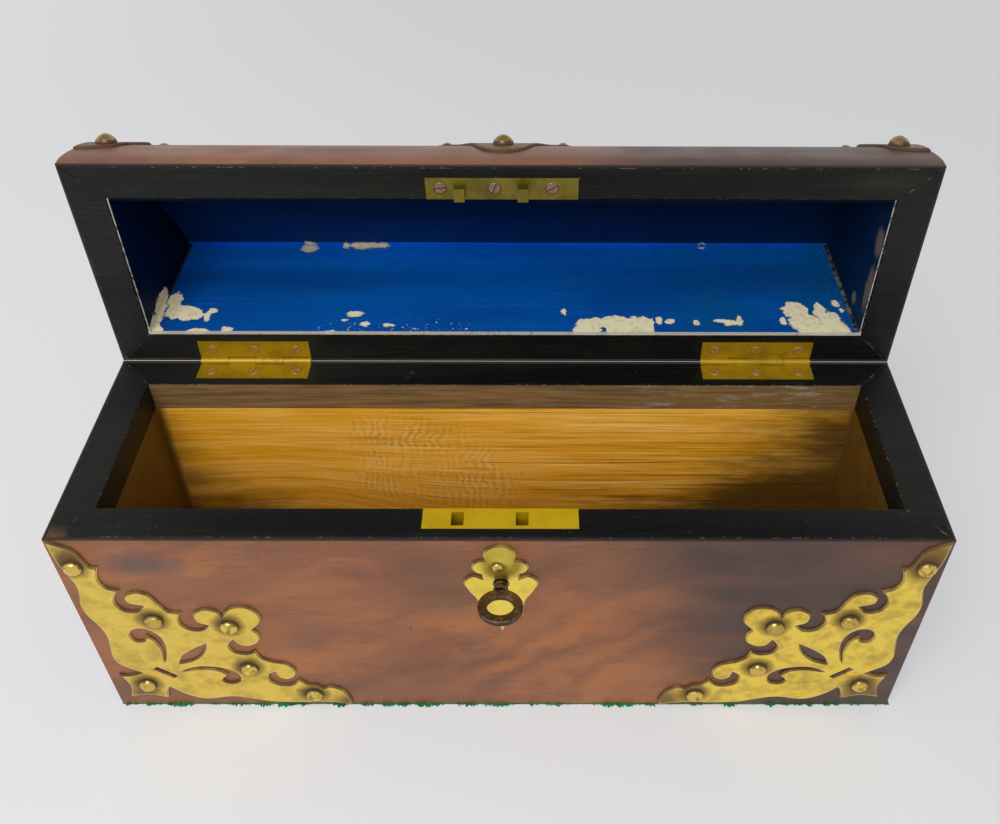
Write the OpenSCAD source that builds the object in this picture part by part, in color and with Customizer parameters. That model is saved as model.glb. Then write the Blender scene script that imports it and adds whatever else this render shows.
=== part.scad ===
// Brass-bound walnut box with a rounded, hinged lid, shown with the lid standing open.
// The origin is at the centre of the underside. X runs along the length, Y runs from
// the front to the back, and Z is up. Everything on the lid is drawn as if it were shut,
// with Z measured from the lid's own rim, and is then swung open about the hinge pins.

/* [Box] */
// Outside length of the box
box_w = 290; // [260:1:380]
// Outside depth of the box, front to back
box_d = 85; // [80:1:120]
// Height of the body's woodwork, without the baize underneath
body_h = 98; // [80:1:140]
// Width of the black rim strips, which is also the thickness of the walls
rim_w = 13; // [13:0.5:16]
// Height of the body's rim strips
rim_h = 12.3; // [10:0.1:16]
// Thickness of the walnut veneer
veneer_t = 0.9; // [0.6:0.1:1.2]
// Thickness of the bottom board
bottom_t = 8; // [5:0.5:12]
// Thickness of the baize under the bottom
baize_t = 0.6; // [0.4:0.1:1.5]

/* [Lid] */
// Height of the lid above its rim
lid_h = 66; // [60:0.5:72]
// Height of the straight edge of the lid, and of its rim strips
lid_rim_h = 4; // [3:0.5:6]
// Outside radius of the lid's rounded front
lid_r = 76; // [74:0.5:84]
// Height above the rim at which the vaulted lining meets the lining of the back
crease_h = 57; // [50:0.5:58]
// Radius of the hollow under the vaulted lining
vault_r = 110; // [80:1:200]
// Thickness of the lining, silk on card
lining_t = 0.8; // [0.5:0.1:1.2]
// Gap between the two rims when the lid is shut
lid_gap = 0.4; // [0.3:0.05:0.6]
// Angle at which the lid stands open at rest
lid_angle = 90; // [80:1:95]

/* [Hinges] */
// Length of each hinge
hinge_len = 41.4; // [34:0.1:50]
// Distance from each end of the box to the middle of its hinge
hinge_inset = 50.6; // [45:0.1:65]
// Width of a hinge leaf, from the pin's axis
leaf_w = 9.4; // [8:0.1:11]
// Thickness of a hinge leaf
leaf_t = 1.2; // [0.9:0.1:1.4]
// Radius of the hinge knuckles
knuckle_r = 1.5; // [1.3:0.05:1.8]
// Radius of the hinge pins
hinge_pin_r = 0.6; // [0.4:0.05:0.8]
// Radius of the heads of the hinge screws
hinge_screw_r = 1.9; // [1.4:0.1:2.2]
// Distance between neighbouring hinge screws
hinge_screw_pitch = 15.7; // [10:0.1:16]

/* [Lock] */
// Length of the lock plate and of the link plate
lock_w = 50.6; // [49:0.1:60]
// Distance from the front of the box to the front edge of the lock plate
lock_y = 4.7; // [4:0.1:4.9]
// Depth of the lock below the top of the body's rim
lock_depth = 32; // [31:0.5:36]
// Thickness of the lock's sheet brass
lock_t = 1.2; // [0.9:0.1:1.2]
// Distance from the middle of the box to the left link hook
hook_left = 13.9; // [12:0.1:14.2]
// Distance from the middle of the box to the right link hook
hook_right = 7; // [5:0.1:8]
// Width of a link hook
hook_w = 3.5; // [3:0.1:3.7]
// Size of a link hook, front to back
hook_d = 5; // [4.4:0.1:5.2]
// Distance that a link hook stands out of its plate
hook_out = 4.6; // [4.4:0.1:5]
// Clear space round a link hook in its slot
hook_clearance = 0.3; // [0.25:0.05:0.4]
// Width of the link plate
link_plate_w = 8.2; // [7:0.1:8.2]
// Distance from the lid's front to the link plate's front edge
link_plate_y = 4.8; // [4:0.1:4.8]
// Thickness of the link plate
link_plate_t = 1.2; // [0.9:0.1:1.6]
// Distance from the middle of the box to the link plate's left screw
link_screw_left = 20.5; // [19.8:0.1:21.5]
// Distance from the middle of the box to the link plate's middle screw
link_screw_middle = 2.5; // [0:0.1:4]
// Distance from the middle of the box to the link plate's right screw
link_screw_right = 16.6; // [13:0.1:20]
// Radius of the heads of the link plate's screws
link_screw_r = 2.2; // [1.6:0.1:2.4]
// Travel of the bolt
bolt_travel = 5; // [4.5:0.1:5.2]

/* [Key] */
// Distance from the top of the body's rim down to the key's axis
key_drop = 21.4; // [20.5:0.1:22]
// Radius of the key's shaft
key_r = 1.9; // [1.7:0.05:2.1]
// Distance from the front of the box to the end of the key's shaft in the lock
key_reach = 11; // [10:0.1:11.4]
// Distance from the front of the box to the near side of the key's bow
key_out = 4; // [4:0.1:8]
// Width of the bow, across the key
bow_w = 14.8; // [12:0.1:20]
// Length of the bow, along the key
bow_len = 12.6; // [10:0.1:18]
// Width of the rim of the bow
bow_rim = 3; // [2.4:0.1:3.6]
// Thickness of the bow
bow_t = 2.2; // [1.6:0.1:3]
// Distance from the shaft's axis to the tip of the bit
bit_reach = 6.8; // [6.2:0.1:7]
// Radius of the drill pin, on which the hollow shaft turns
drill_pin_r = 0.9; // [0.7:0.05:1]
// Clearance round turning pins
pin_clearance = 0.05; // [0.02:0.01:0.09]

/* [Brass mounts] */
// Thickness of the strapwork and of the escutcheon
mount_t = 1; // [0.6:0.1:1.5]
// Length of the front mounts along the bottom of the box
mount_w = 88; // [80:1:100]
// Radius of the domed studs on the front
stud_r = 3.3; // [2.6:0.1:3.8]
// Height of the domed studs on the front
stud_h = 2.6; // [2:0.1:3.2]
// Radius of the large domed studs on the lid
lid_stud_r = 3.6; // [3:0.1:4.2]
// Height of the large domed studs on the lid
lid_stud_h = 3.3; // [2.4:0.1:3.6]
// Radius of the small domed studs on the lid
small_stud_r = 2.2; // [1.6:0.1:2.8]
// Height of the small domed studs on the lid
small_stud_h = 1.6; // [1.2:0.1:2.2]
// Radius of the shanks of all the studs
shank_r = 0.8; // [0.5:0.1:1]
// Distance from the lid's end to the large stud of each end mount
lid_stud_inset = 8.8; // [6:0.1:12]

/* [Hidden] */
$fn = 64;

// Half sizes, and the inner faces of the walls
half_w = box_w / 2;
half_d = box_d / 2;
in_w = half_w - rim_w;
in_d = half_d - rim_w;
wood_w = half_w - veneer_t;
wood_d = half_d - veneer_t;

// Heights in the body
rim_z = baize_t + body_h;
wall_top = rim_z - rim_h;

// The hinge axis lies in the plane of the back, half way up the gap between the rims
hinge_y = half_d;
hinge_z = rim_z + lid_gap / 2;
lid_z = rim_z + lid_gap;

// A cut runs past the face that it opens by this much
past = 1;

// Places that come out of a root are rounded down to this step, so that faces meet cleanly
step = 0.01;
function stepped(x) = floor(x / step) * step;

// Centre of the lid's rounded front, which starts just above the top of the straight edge
round_start = 0.03;
arc_z = lid_h - lid_r;
arc_y = stepped(sqrt(pow(lid_r, 2) - pow(lid_rim_h - arc_z, 2)) - half_d - round_start);

// Radius of the lid's rounded front, that much inside its surface
function arc_r(inset) = lid_r - inset;

// Centre of the vault's arc, which springs from just above the front rim strip and ends at
// the crease
vault_rise = 0.2;
vault_start = [-in_d, lid_rim_h + vault_rise];
vault_end = [in_d, crease_h];
vault_chord = vault_end - vault_start;
vault_span = norm(vault_chord);
vault_down = [vault_chord.y, -vault_chord.x] / vault_span;
vault_mid = (vault_start + vault_end) / 2;
vault_exact = vault_mid + vault_down * sqrt(pow(vault_r, 2) - pow(vault_span / 2, 2));
vault_centre = [stepped(vault_exact.x), stepped(vault_exact.y)];

// Hinges
hinge_x = half_w - hinge_inset;
knuckle_count = 4;
knuckle_len = hinge_len / knuckle_count;
knuckle_gap = 0.1;
running_gap = 0.3;
screw_shank_r = 0.9;
screw_shank_len = 7;
screw_fit = 0.05;
screw_slot = 0.4;

// Lock, measured from the front of the box and from the top of the body's rim
lock_back_y = rim_w;
hook_x = [-hook_left, hook_right];
slot_w = hook_w + 2 * hook_clearance;
slot_d = hook_d + 2 * hook_clearance;
slot_edge = 0.05;
hook_y = lock_y + lock_t + slot_edge + slot_d / 2;
link_screw_x = [-link_screw_left, -link_screw_middle, link_screw_right];
case_wall = 1.2;
case_inset = 6;
case_in_y = lock_y + lock_t;
case_out_y = lock_back_y - lock_t;
lock_half = lock_w / 2;
case_half = lock_half - case_inset;
bolt_y = hook_y;
bolt_t = 2;
eye_h = 2;
eye_from_tip = 0.9;
finger_h = 1.3;
finger_z = hook_out - eye_from_tip - eye_h / 2 - lid_gap;
bar_top = hook_out + 1.4;
bar_bottom = key_drop - 5.2;
talon_top = key_drop - bit_reach - running_gap;
talon_w = 10;
finger_len = bolt_travel;
post_w = 2.2;
bar_tail = 3;
bow_merge = 0.2;
key_z = rim_z - key_drop;
key_end_y = -half_d + key_reach;
bit_t = 1.4;
bit_len = 2.6;
collar_r = 2.5;
collar_step = 0.2;
collar_t = 1;
drill_depth = 5;
keyhole_w = 2;
keyhole_drop = bit_reach + 0.3;
spring_x = -4;
spring_r = 3.5;
spring_t = 0.5;
spring_w = 1.6;
lock_screw_r = 1.6;
lock_screw_inset = 3;
lock_screw_low = 28.5;
lock_screw_high = 16;

// Brass mounts
mount_h = body_h;
outline_size = [88, 98];
outline_scale = [mount_w / outline_size.x, mount_h / outline_size.y];
shank_len = mount_t + 3.6;
shank_fit = 0.05;
// Studs of the front mount, across from the corner and up from the bottom
front_stud_places = [
    for (p = [[6.4, 84.7], [25.6, 55.3], [50.7, 51.7], [53, 25.5], [74, 8], [13.6, 14.7]])
        [p.x * outline_scale.x, p.y * outline_scale.y]
];
// Angle round the lid's curve at which the large studs stand, and the mounts' middle
lid_stud_angle = 24;
mount_mid_angle = 50;
// Places of the small studs from a large one, across and round the curve
small_stud_at = [21.1, 22.2];
end_small_stud_at = [11.2, 24.2];
edge_gap = 0.5;

// Colours
walnut = [0.45, 0.24, 0.14];
ebony = [0.12, 0.13, 0.13];
birch = [0.80, 0.60, 0.30];
blue = [0.05, 0.30, 0.60];
baize = [0.05, 0.35, 0.15];
brass = [0.80, 0.65, 0.25];
old_brass = [0.55, 0.42, 0.20];
iron = [0.30, 0.24, 0.18];

// One stretch of a smooth curve through four points
function curve_point(a, b, c, d, t) =
    0.5 * (2 * b + (c - a) * t + (2 * a - 5 * b + 4 * c - d) * t * t
    + (3 * b - a - 3 * c + d) * t * t * t);

// Points of a smooth curve through a run of points, without the last one
function smooth(p, steps) = [
    for (i = [0 : len(p) - 2])
        for (k = [0 : steps - 1])
            curve_point(p[max(i - 1, 0)], p[i], p[i + 1], p[min(i + 2, len(p) - 1)], k / steps)
];

// A closed outline from runs of points: each run starts at a sharp corner and is smooth
// up to the corner at which the next run starts
function outline(runs, steps = 3) = [
    for (i = [0 : len(runs) - 1])
        each smooth(concat(runs[i], [runs[(i + 1) % len(runs)][0]]), steps)
];

// Points of part of a circle
function arc(centre, r, from, to, steps) = [
    for (i = [0 : steps])
        let (a = from + (to - from) * i / steps)
        centre + r * [cos(a), sin(a)]
];

// Outline of a front mount, across from the corner and up from the bottom
front_mount_outline = outline([
    [[1, 98], [1.2, 92], [1.7, 86.5], [3, 81], [4.3, 75], [3.8, 70], [2.6, 64], [3.2, 58], [5.4, 52],
        [6.5, 45.5], [5.6, 38], [5, 32.5], [6.6, 27.6]],
    [[12.9, 22.6], [8.2, 20.7]],
    [[4.4, 21.3], [6.5, 14]],
    [[4.8, 6], [12, 7.5]],
    [[19.2, 5.3], [19.8, 9.4]],
    [[21.2, 12.8], [25, 8.6], [30, 5.4], [35, 4.6], [43, 6.2], [50, 4.8], [57, 2.7], [66, 2.1], [78, 2.4]],
    [[87.3, 0.6], [87.5, 4.5], [84.8, 10.8], [80.6, 13.2]],
    [[78, 12.2]],
    [[75.2, 14.8], [72.6, 14.8]],
    [[69.6, 18.2], [66.6, 14.6], [62.4, 14.4], [59.2, 17], [59.2, 20.8]],
    [[61.6, 22.9], [62.2, 19.8], [65.4, 18], [68.6, 20], [69.3, 24], [66.8, 28.3], [62, 29.8], [58.2, 32.6]],
    [[56.9, 36.9], [53.6, 34.9], [49.6, 35.9], [48, 39.6]],
    [[50.3, 43.3], [52, 40.4], [55.4, 39.6], [59.2, 42.2], [59.9, 46.8]],
    [[58.4, 49.8], [61.6, 53.8], [61.9, 58.6], [58.6, 62.9], [53.4, 62.8], [50.4, 60]],
    [[49.2, 57.6], [47.4, 60.9], [43.2, 61.7], [39.6, 59], [39.7, 54.4]],
    [[43.2, 52.3], [40.4, 49.6], [36.4, 50.1], [34, 53.4], [34.2, 56.8]],
    [[35.9, 59.4], [31.4, 60.6], [29, 65.6], [26.6, 70.2], [22.4, 71.3], [18.6, 68.9], [19, 65.2]],
    [[23.6, 63.6], [20.8, 60.4], [16.8, 61.1], [14.8, 65], [15.8, 69]],
    [[18.2, 72.1], [14.4, 73.7], [12.6, 78]],
    [[14.3, 84.7], [12, 84.9], [10.7, 88.6], [8.4, 94]]
]);

// Openings cut through a front mount: two commas, a leaf and a slit
front_mount_cuts = [
    outline([
        [[23.2, 29.8], [24, 37], [22.9, 43]],
        [[20.4, 46.4], [19.2, 43.2], [16.2, 43], [15, 46.5], [17.4, 49.7], [21.6, 49.7],
            [25, 45.2], [25.3, 38]]
    ]),
    outline([
        [[28.7, 23.8], [35, 26.4], [43, 25.5], [47.8, 21.8], [47.8, 17.4], [44.4, 15.7], [41.7, 17.6]],
        [[44.4, 20.9], [41, 24.4], [35, 25.2]]
    ]),
    outline([
        [[28.5, 28.8], [30.4, 33.2], [35.3, 37.6]],
        [[40.3, 41], [38.2, 35.8], [33.8, 31]]
    ]),
    outline([[[18.7, 25.1], [24.3, 19.9]], [[25.3, 20.7], [19.7, 25.9]]], 1)
];

// Outline of the escutcheon, across from the key's axis and up from the bottom of its point
escutcheon_outline = outline([
    arc([-0.2, 42], 5.4, 205, -25, 9),
    arc([5.5, 36.1], 3.7, 75, -80, 7),
    [[6.2, 30.4], [9.4, 31.9], [12.5, 28.2], [10.6, 22.6], [8.4, 18.6], [7.5, 13.6]],
    [[7.2, 9.4], [3.2, 7.6]],
    [[0, 0], [-3.2, 7.6]],
    [[-7.2, 9.4], [-7.5, 13.6], [-8.4, 18.6], [-10.6, 22.6], [-12.5, 28.2], [-9.4, 31.9]],
    [[-6.2, 30.4]],
    arc([-5.8, 36.1], 3.7, 260, 105, 7)
]);
escutcheon_h = 47.4;
escutcheon_top = 1.8;
escutcheon_z = rim_z - escutcheon_top - escutcheon_h;
escutcheon_pin_at = [-1, 36.6];
escutcheon_pin_r = 1.9;
escutcheon_pin_h = 1.2;

// Right half of the middle lid mount, across from its large stud and round the curve from it
lid_mount_half = [
    [[0, -11.5], [5, -10.2], [8.6, -5.2], [10.4, 1.4], [12, 7], [14.2, 12.4]],
    [[16.6, 15.6], [20, 16.2], [24.2, 18.2], [26, 22.4], [24, 26.6], [19.6, 27]],
    [[16.4, 24], [12.4, 24.8], [9.2, 30]],
    [[7.2, 36], [6.2, 43], [8, 50]],
    [[12.8, 53.6], [15.4, 58], [13, 63], [8.6, 63.4]],
    [[6.4, 62.2], [8.2, 66.6], [5.4, 71]]
];
lid_mount_top = [0, 73.4];
lid_mount_cuts = [
    outline([[[0, 33], [2.6, 40]], [[0, 48], [-2.6, 40]]]),
    outline([[[0, 54], [2.8, 57.6]], [[0, 61.4], [-2.8, 57.6]]])
];

// Outline of an end mount, from its large stud towards the middle of the lid and round the
// curve; it runs past the end of the lid, where it is cut off
past_end = -15;
end_mount_outline = outline([
    [[past_end, -7.4], [-5.4, -7.8], [-0.6, -6.4], [3.8, -3.6], [4.9, 1.6]],
    [[5.8, 5.4], [9, 7], [11, 10.6], [9.8, 15]],
    [[7.6, 18.4], [9.4, 19], [13.2, 19.4], [16, 22.8], [15.4, 27.4], [11.4, 29.2], [7.4, 27.6]],
    [[5.2, 25.4], [2, 26.8], [0.2, 32]],
    [[-1.6, 38], [-2.4, 45], [-0.8, 52]],
    [[3.8, 55.4], [6.4, 60], [4, 65], [-0.4, 65.2]],
    [[-2.4, 64], [-1.2, 68], [-4, 72]],
    [[past_end, 73.4]]
]);
end_mount_cuts = [outline([[[-5.6, 34], [-4, 41]], [[-5.6, 48], [-7.2, 41]]])];

// The half outline and its mirror image, joined at the bottom and at the top
function mirrored(p) = [-p.x, p.y];
lid_mount_curve = [
    for (i = [0 : len(lid_mount_half) - 1])
        each smooth(concat(lid_mount_half[i], [concat(lid_mount_half, [[lid_mount_top]])[i + 1][0]]), 3)
];
lid_mount_outline = concat(
    lid_mount_curve, [lid_mount_top],
    [for (i = [len(lid_mount_curve) - 1 : -1 : 1]) mirrored(lid_mount_curve[i])]
);

// Where a point of a lid mount comes when its flat outline is seen square to its middle
function bent(p) = [p.x, lid_r * sin(lid_stud_angle - mount_mid_angle + p.y / lid_r * 180 / PI)];

// A shape drawn across the box, with its first axis to the back and its second up
module along_x(from, to) {
    translate([from, 0, 0]) rotate([90, 0, 90]) linear_extrude(to - from) children();
}

// A bar along X with its centre line at the given place
module rod_x(r, from, to, y, z) {
    translate([from, y, z]) rotate([0, 90, 0]) cylinder(r = r, h = to - from);
}

// A bar along Y with its centre line at the given place
module rod_y(r, from, to, x, z) {
    translate([x, from, z]) rotate([-90, 0, 0]) cylinder(r = r, h = to - from);
}

// A block from its lowest to its highest corner
module block(low, high) {
    translate(low) cube(high - low);
}

// Swings what is drawn for the shut lid to the angle at which the lid stands
module on_lid() {
    translate([0, hinge_y, hinge_z]) rotate([-lid_angle, 0, 0])
        translate([0, -hinge_y, lid_z - hinge_z]) children();
}

// One of four mitred strips round a frame: side 0 is the front, 1 right, 2 back, 3 left
module mitred_strip(side, w, d, strip, height) {
    long = side % 2 == 0 ? w : d;
    far = side % 2 == 0 ? d : w;
    rotate([0, 0, 90 * side]) linear_extrude(height)
        polygon([[-long, -far], [long, -far], [long - strip, strip - far], [strip - long, strip - far]]);
}

// Solid shape of the lid, that much inside its outer surface
module lid_form(inset, from, to) {
    r = arc_r(inset);
    intersection() {
        block([from, -half_d + inset, 0], [to, half_d - inset, arc_z + r]);
        union() {
            rod_x(r, from, to, arc_y, arc_z);
            block([from, arc_y, 0], [to, half_d, lid_h]);
            block([from, -half_d, 0], [to, half_d, lid_rim_h]);
        }
    }
}

// Hollow of the lid under its vault, that much inside the bare wood
module lid_hollow(inset, from, to) {
    intersection() {
        block([from, -in_d + inset, -past], [to, in_d - inset, lid_h]);
        rod_x(vault_r - inset, from, to, vault_centre.x, vault_centre.y);
    }
}

// A countersunk wood screw whose head lies flush at z = 0 and whose shank points down
module screw(head_r, head_t) {
    difference() {
        union() {
            translate([0, 0, -head_t]) cylinder(r = head_r, h = head_t);
            translate([0, 0, -screw_shank_len])
                cylinder(r = screw_shank_r, h = screw_shank_len - head_t / 2);
        }
        block([-head_r - past, -screw_slot / 2, -screw_slot], [head_r + past, screw_slot / 2, past]);
    }
}

// The hole that such a screw needs
module screw_hole(head_r, head_t) {
    translate([0, 0, -head_t]) cylinder(r = head_r + screw_fit, h = head_t + past);
    translate([0, 0, -screw_shank_len - screw_fit])
        cylinder(r = screw_shank_r + screw_fit, h = screw_shank_len);
}

// A domed stud standing on z = 0, with its shank below
module stud(r, height) {
    ball_r = (r * r + height * height) / (2 * height);
    intersection() {
        translate([0, 0, height - ball_r]) sphere(r = ball_r);
        cylinder(r = r + past, h = height + past);
    }
    translate([0, 0, -shank_len]) cylinder(r = shank_r, h = shank_len);
}

// The hole for a stud's shank
module stud_hole() {
    translate([0, 0, -shank_len - shank_fit])
        cylinder(r = shank_r + shank_fit, h = shank_len + shank_fit + past);
}

// Puts what is drawn on z = 0 on the face of the front, at a place of the mount on one side
module on_front(side, place) {
    across = place.x * outline_scale.x;
    up = place.y * outline_scale.y;
    translate([side * (half_w - across), -half_d - mount_t, baize_t + up]) rotate([90, 0, 0]) children();
}

// Every shank hole of the front mounts
module front_stud_holes() {
    for (side = [-1, 1]) for (place = front_stud_places) on_front(side, place) stud_hole();
}

// The keyhole through the front: a bore for the shaft and a slot below it for the bit
module keyhole() {
    rod_y(key_r + running_gap, -half_d - mount_t - past, -half_d + case_in_y + past, 0, key_z);
    block([-keyhole_w / 2, -half_d - mount_t - past, key_z - keyhole_drop],
        [keyhole_w / 2, -half_d + case_in_y + past, key_z]);
}

// Room for the lock: the space that its plate and case fill
module lock_space() {
    block([-lock_half, -half_d + lock_y, rim_z - lock_t], [lock_half, -in_d + past, rim_z + past]);
    block([-lock_half, -in_d - lock_t, rim_z - lock_depth], [lock_half, -in_d + past, rim_z]);
    block([-case_half, -half_d + lock_y, rim_z - lock_depth + case_wall], [case_half, -in_d, rim_z]);
}

// Room for the knuckles of a hinge, round an axis at the given height
module knuckle_channel(z) {
    end = hinge_len / 2 + knuckle_gap;
    rod_x(knuckle_r + running_gap, -end, end, hinge_y, z);
}

// Leaves and knuckle channels of both hinges, cut from the body
module body_hinge_recess() {
    end = hinge_len / 2;
    for (side = [-1, 1]) translate([side * hinge_x, 0, 0]) {
        block([-end, hinge_y - leaf_w, rim_z - leaf_t], [end, hinge_y + past, rim_z + past]);
        knuckle_channel(hinge_z);
    }
}

// The same, cut from the lid
module lid_hinge_recess() {
    end = hinge_len / 2;
    for (side = [-1, 1]) translate([side * hinge_x, 0, 0]) {
        block([-end, hinge_y - leaf_w, -past], [end, hinge_y + past, leaf_t]);
        knuckle_channel(-lid_gap / 2);
    }
}

// Puts a screw that points down on each screw place of the hinges in the body
module at_hinge_screws() {
    screw_y = hinge_y - (leaf_w + knuckle_r) / 2;
    for (side = [-1, 1]) for (k = [-1, 0, 1])
        translate([side * hinge_x + k * hinge_screw_pitch, screw_y, 0]) children();
}

// One leaf of a hinge, with its flat face at z = 0 and the leaf above it or below it
module leaf(up, first) {
    axis_z = up ? -lid_gap / 2 : lid_gap / 2;
    plate_z = up ? 0 : -leaf_t;
    difference() {
        union() {
            block([-hinge_len / 2, hinge_y - leaf_w, plate_z], [hinge_len / 2, hinge_y, plate_z + leaf_t]);
            for (k = [first : 2 : knuckle_count - 1])
                rod_x(knuckle_r, -hinge_len / 2 + k * knuckle_len + knuckle_gap / 2,
                    -hinge_len / 2 + (k + 1) * knuckle_len - knuckle_gap / 2, hinge_y, axis_z);
        }
        for (k = [1 - first : 2 : knuckle_count - 1])
            rod_x(knuckle_r + running_gap, -hinge_len / 2 + k * knuckle_len - knuckle_gap / 2,
                -hinge_len / 2 + (k + 1) * knuckle_len + knuckle_gap / 2, hinge_y, axis_z);
        rod_x(hinge_pin_r + pin_clearance, -hinge_len / 2 - past, hinge_len / 2 + past, hinge_y, axis_z);
    }
}

// Heads of the screws are a little thinner than what they hold down
hinge_head_t = leaf_t - 0.3;
link_head_t = link_plate_t - 0.3;
lock_head_t = lock_t - 0.3;

// A hinge leaf in the body's rim
module body_leaf(side) {
    color(brass) difference() {
        translate([side * hinge_x, 0, rim_z]) leaf(false, 1);
        translate([0, 0, rim_z]) at_hinge_screws() screw_hole(hinge_screw_r, hinge_head_t);
    }
}

// A hinge leaf in the lid's rim
module lid_leaf(side) {
    color(brass) on_lid() difference() {
        translate([side * hinge_x, 0, 0]) leaf(true, 0);
        at_hinge_screws() mirror([0, 0, 1]) screw_hole(hinge_screw_r, hinge_head_t);
    }
}

// A hinge pin
module pin(side) {
    color(old_brass)
        rod_x(hinge_pin_r, side * hinge_x - hinge_len / 2, side * hinge_x + hinge_len / 2, hinge_y, hinge_z);
}

module hinge_left_body_leaf() body_leaf(-1);

module hinge_right_body_leaf() body_leaf(1);

module hinge_left_lid_leaf() lid_leaf(-1);

module hinge_right_lid_leaf() lid_leaf(1);

module hinge_left_pin() pin(-1);

module hinge_right_pin() pin(1);

// Boards of the body
module front_board() {
    color(birch) difference() {
        block([-wood_w, -wood_d, baize_t], [wood_w, -in_d, wall_top]);
        lock_space();
        keyhole();
        front_stud_holes();
        escutcheon_pin_hole();
        at_lock_screws() screw_hole(lock_screw_r, lock_head_t);
    }
}

module back_board() {
    color(birch) block([-wood_w, in_d, baize_t], [wood_w, wood_d, wall_top]);
}

module end_board(side) {
    from = min(side * in_w, side * wood_w);
    to = max(side * in_w, side * wood_w);
    color(birch) block([from, -in_d, baize_t], [to, in_d, wall_top]);
}

module bottom_board() {
    color(birch) block([-in_w, -in_d, baize_t], [in_w, in_d, baize_t + bottom_t]);
}

module left_board() end_board(-1);

module right_board() end_board(1);

// Black rim strips of the body
module rim_strip(side) {
    translate([0, 0, wall_top]) mitred_strip(side, wood_w, wood_d, rim_w - veneer_t, rim_h);
}

module rim_front() {
    color(ebony) difference() {
        rim_strip(0);
        lock_space();
        front_stud_holes();
        escutcheon_pin_hole();
    }
}

module rim_back() {
    color(ebony) difference() {
        rim_strip(2);
        body_hinge_recess();
        translate([0, 0, rim_z]) at_hinge_screws() screw_hole(hinge_screw_r, hinge_head_t);
    }
}

module rim_left() {
    color(ebony) rim_strip(3);
}

module rim_right() {
    color(ebony) rim_strip(1);
}

// Walnut veneers of the body
module veneer_front() {
    color(walnut) difference() {
        block([-half_w, -half_d, baize_t], [half_w, -wood_d, rim_z]);
        keyhole();
        front_stud_holes();
        escutcheon_pin_hole();
    }
}

module veneer_back() {
    color(walnut) difference() {
        block([-half_w, wood_d, baize_t], [half_w, half_d, rim_z]);
        body_hinge_recess();
    }
}

module veneer_end(side) {
    color(walnut) block([min(side * wood_w, side * half_w), -wood_d, baize_t],
        [max(side * wood_w, side * half_w), wood_d, rim_z]);
}

module veneer_left() veneer_end(-1);

module veneer_right() veneer_end(1);

module base_baize() {
    color(baize) block([-half_w, -half_d, 0], [half_w, half_d, baize_t]);
}

// Boards of the lid
module lid_back_board() {
    color(birch) on_lid() difference() {
        intersection() {
            lid_form(veneer_t, -wood_w, wood_w);
            block([-wood_w, in_d, lid_rim_h], [wood_w, half_d, lid_h]);
        }
        lid_hinge_recess();
        at_hinge_screws() mirror([0, 0, 1]) screw_hole(hinge_screw_r, hinge_head_t);
    }
}

module lid_cheek(side) {
    from = min(side * in_w, side * wood_w);
    to = max(side * in_w, side * wood_w);
    color(birch) on_lid() difference() {
        intersection() {
            lid_form(veneer_t, from, to);
            block([from, -half_d, lid_rim_h], [to, in_d, lid_h]);
        }
        lid_stud_holes();
    }
}

module lid_left_cheek() lid_cheek(-1);

module lid_right_cheek() lid_cheek(1);

module lid_curved_front() {
    color(birch) on_lid() difference() {
        intersection() {
            lid_form(veneer_t, -in_w, in_w);
            block([-in_w, -half_d, lid_rim_h], [in_w, in_d, lid_h]);
        }
        lid_hollow(0, -in_w - past, in_w + past);
        lid_stud_holes();
        at_link_screws() screw_hole(link_screw_r, link_head_t);
    }
}

// Black rim strips of the lid
module lid_rim_strip(side) {
    mitred_strip(side, wood_w, wood_d, rim_w - veneer_t, lid_rim_h);
}

module lid_rim_front() {
    color(ebony) on_lid() difference() {
        lid_rim_strip(0);
        link_plate_form(past);
        at_link_screws() screw_hole(link_screw_r, link_head_t);
    }
}

module lid_rim_back() {
    color(ebony) on_lid() difference() {
        lid_rim_strip(2);
        lid_hinge_recess();
        at_hinge_screws() mirror([0, 0, 1]) screw_hole(hinge_screw_r, hinge_head_t);
    }
}

module lid_rim_left() {
    color(ebony) on_lid() lid_rim_strip(3);
}

module lid_rim_right() {
    color(ebony) on_lid() lid_rim_strip(1);
}

// Walnut veneers of the lid
module lid_veneer_top() {
    inner_r = arc_r(veneer_t);
    color(walnut) on_lid() difference() {
        union() {
            block([-half_w, -half_d, 0], [half_w, -wood_d, lid_rim_h]);
            intersection() {
                block([-half_w, -half_d, lid_rim_h], [half_w, arc_y, lid_h]);
                difference() {
                    rod_x(lid_r, -half_w, half_w, arc_y, arc_z);
                    intersection() {
                        rod_x(inner_r, -half_w - past, half_w + past, arc_y, arc_z);
                        block([-half_w - past, -wood_d, 0], [half_w + past, half_d, lid_h]);
                    }
                }
            }
            block([-half_w, arc_y, arc_z + inner_r], [half_w, half_d, lid_h]);
        }
        lid_stud_holes();
    }
}

module lid_veneer_back() {
    color(walnut) on_lid() difference() {
        block([-half_w, wood_d, 0], [half_w, half_d, arc_z + arc_r(veneer_t)]);
        lid_hinge_recess();
    }
}

module lid_veneer_end(side) {
    from = min(side * wood_w, side * half_w);
    to = max(side * wood_w, side * half_w);
    color(walnut) on_lid() lid_form(veneer_t, from, to);
}

module lid_veneer_left() lid_veneer_end(-1);

module lid_veneer_right() lid_veneer_end(1);

// Silk-covered card that lines the lid
module lining_vault() {
    color(blue) on_lid() difference() {
        intersection() {
            lid_hollow(0, -in_w, in_w);
            block([-in_w, -in_d, 0], [in_w, in_d - lining_t, lid_h]);
        }
        lid_hollow(lining_t, -in_w - past, in_w + past);
    }
}

module lining_back() {
    color(blue) on_lid() intersection() {
        lid_hollow(0, -in_w, in_w);
        block([-in_w, in_d - lining_t, 0], [in_w, in_d, lid_h]);
    }
}

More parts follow.
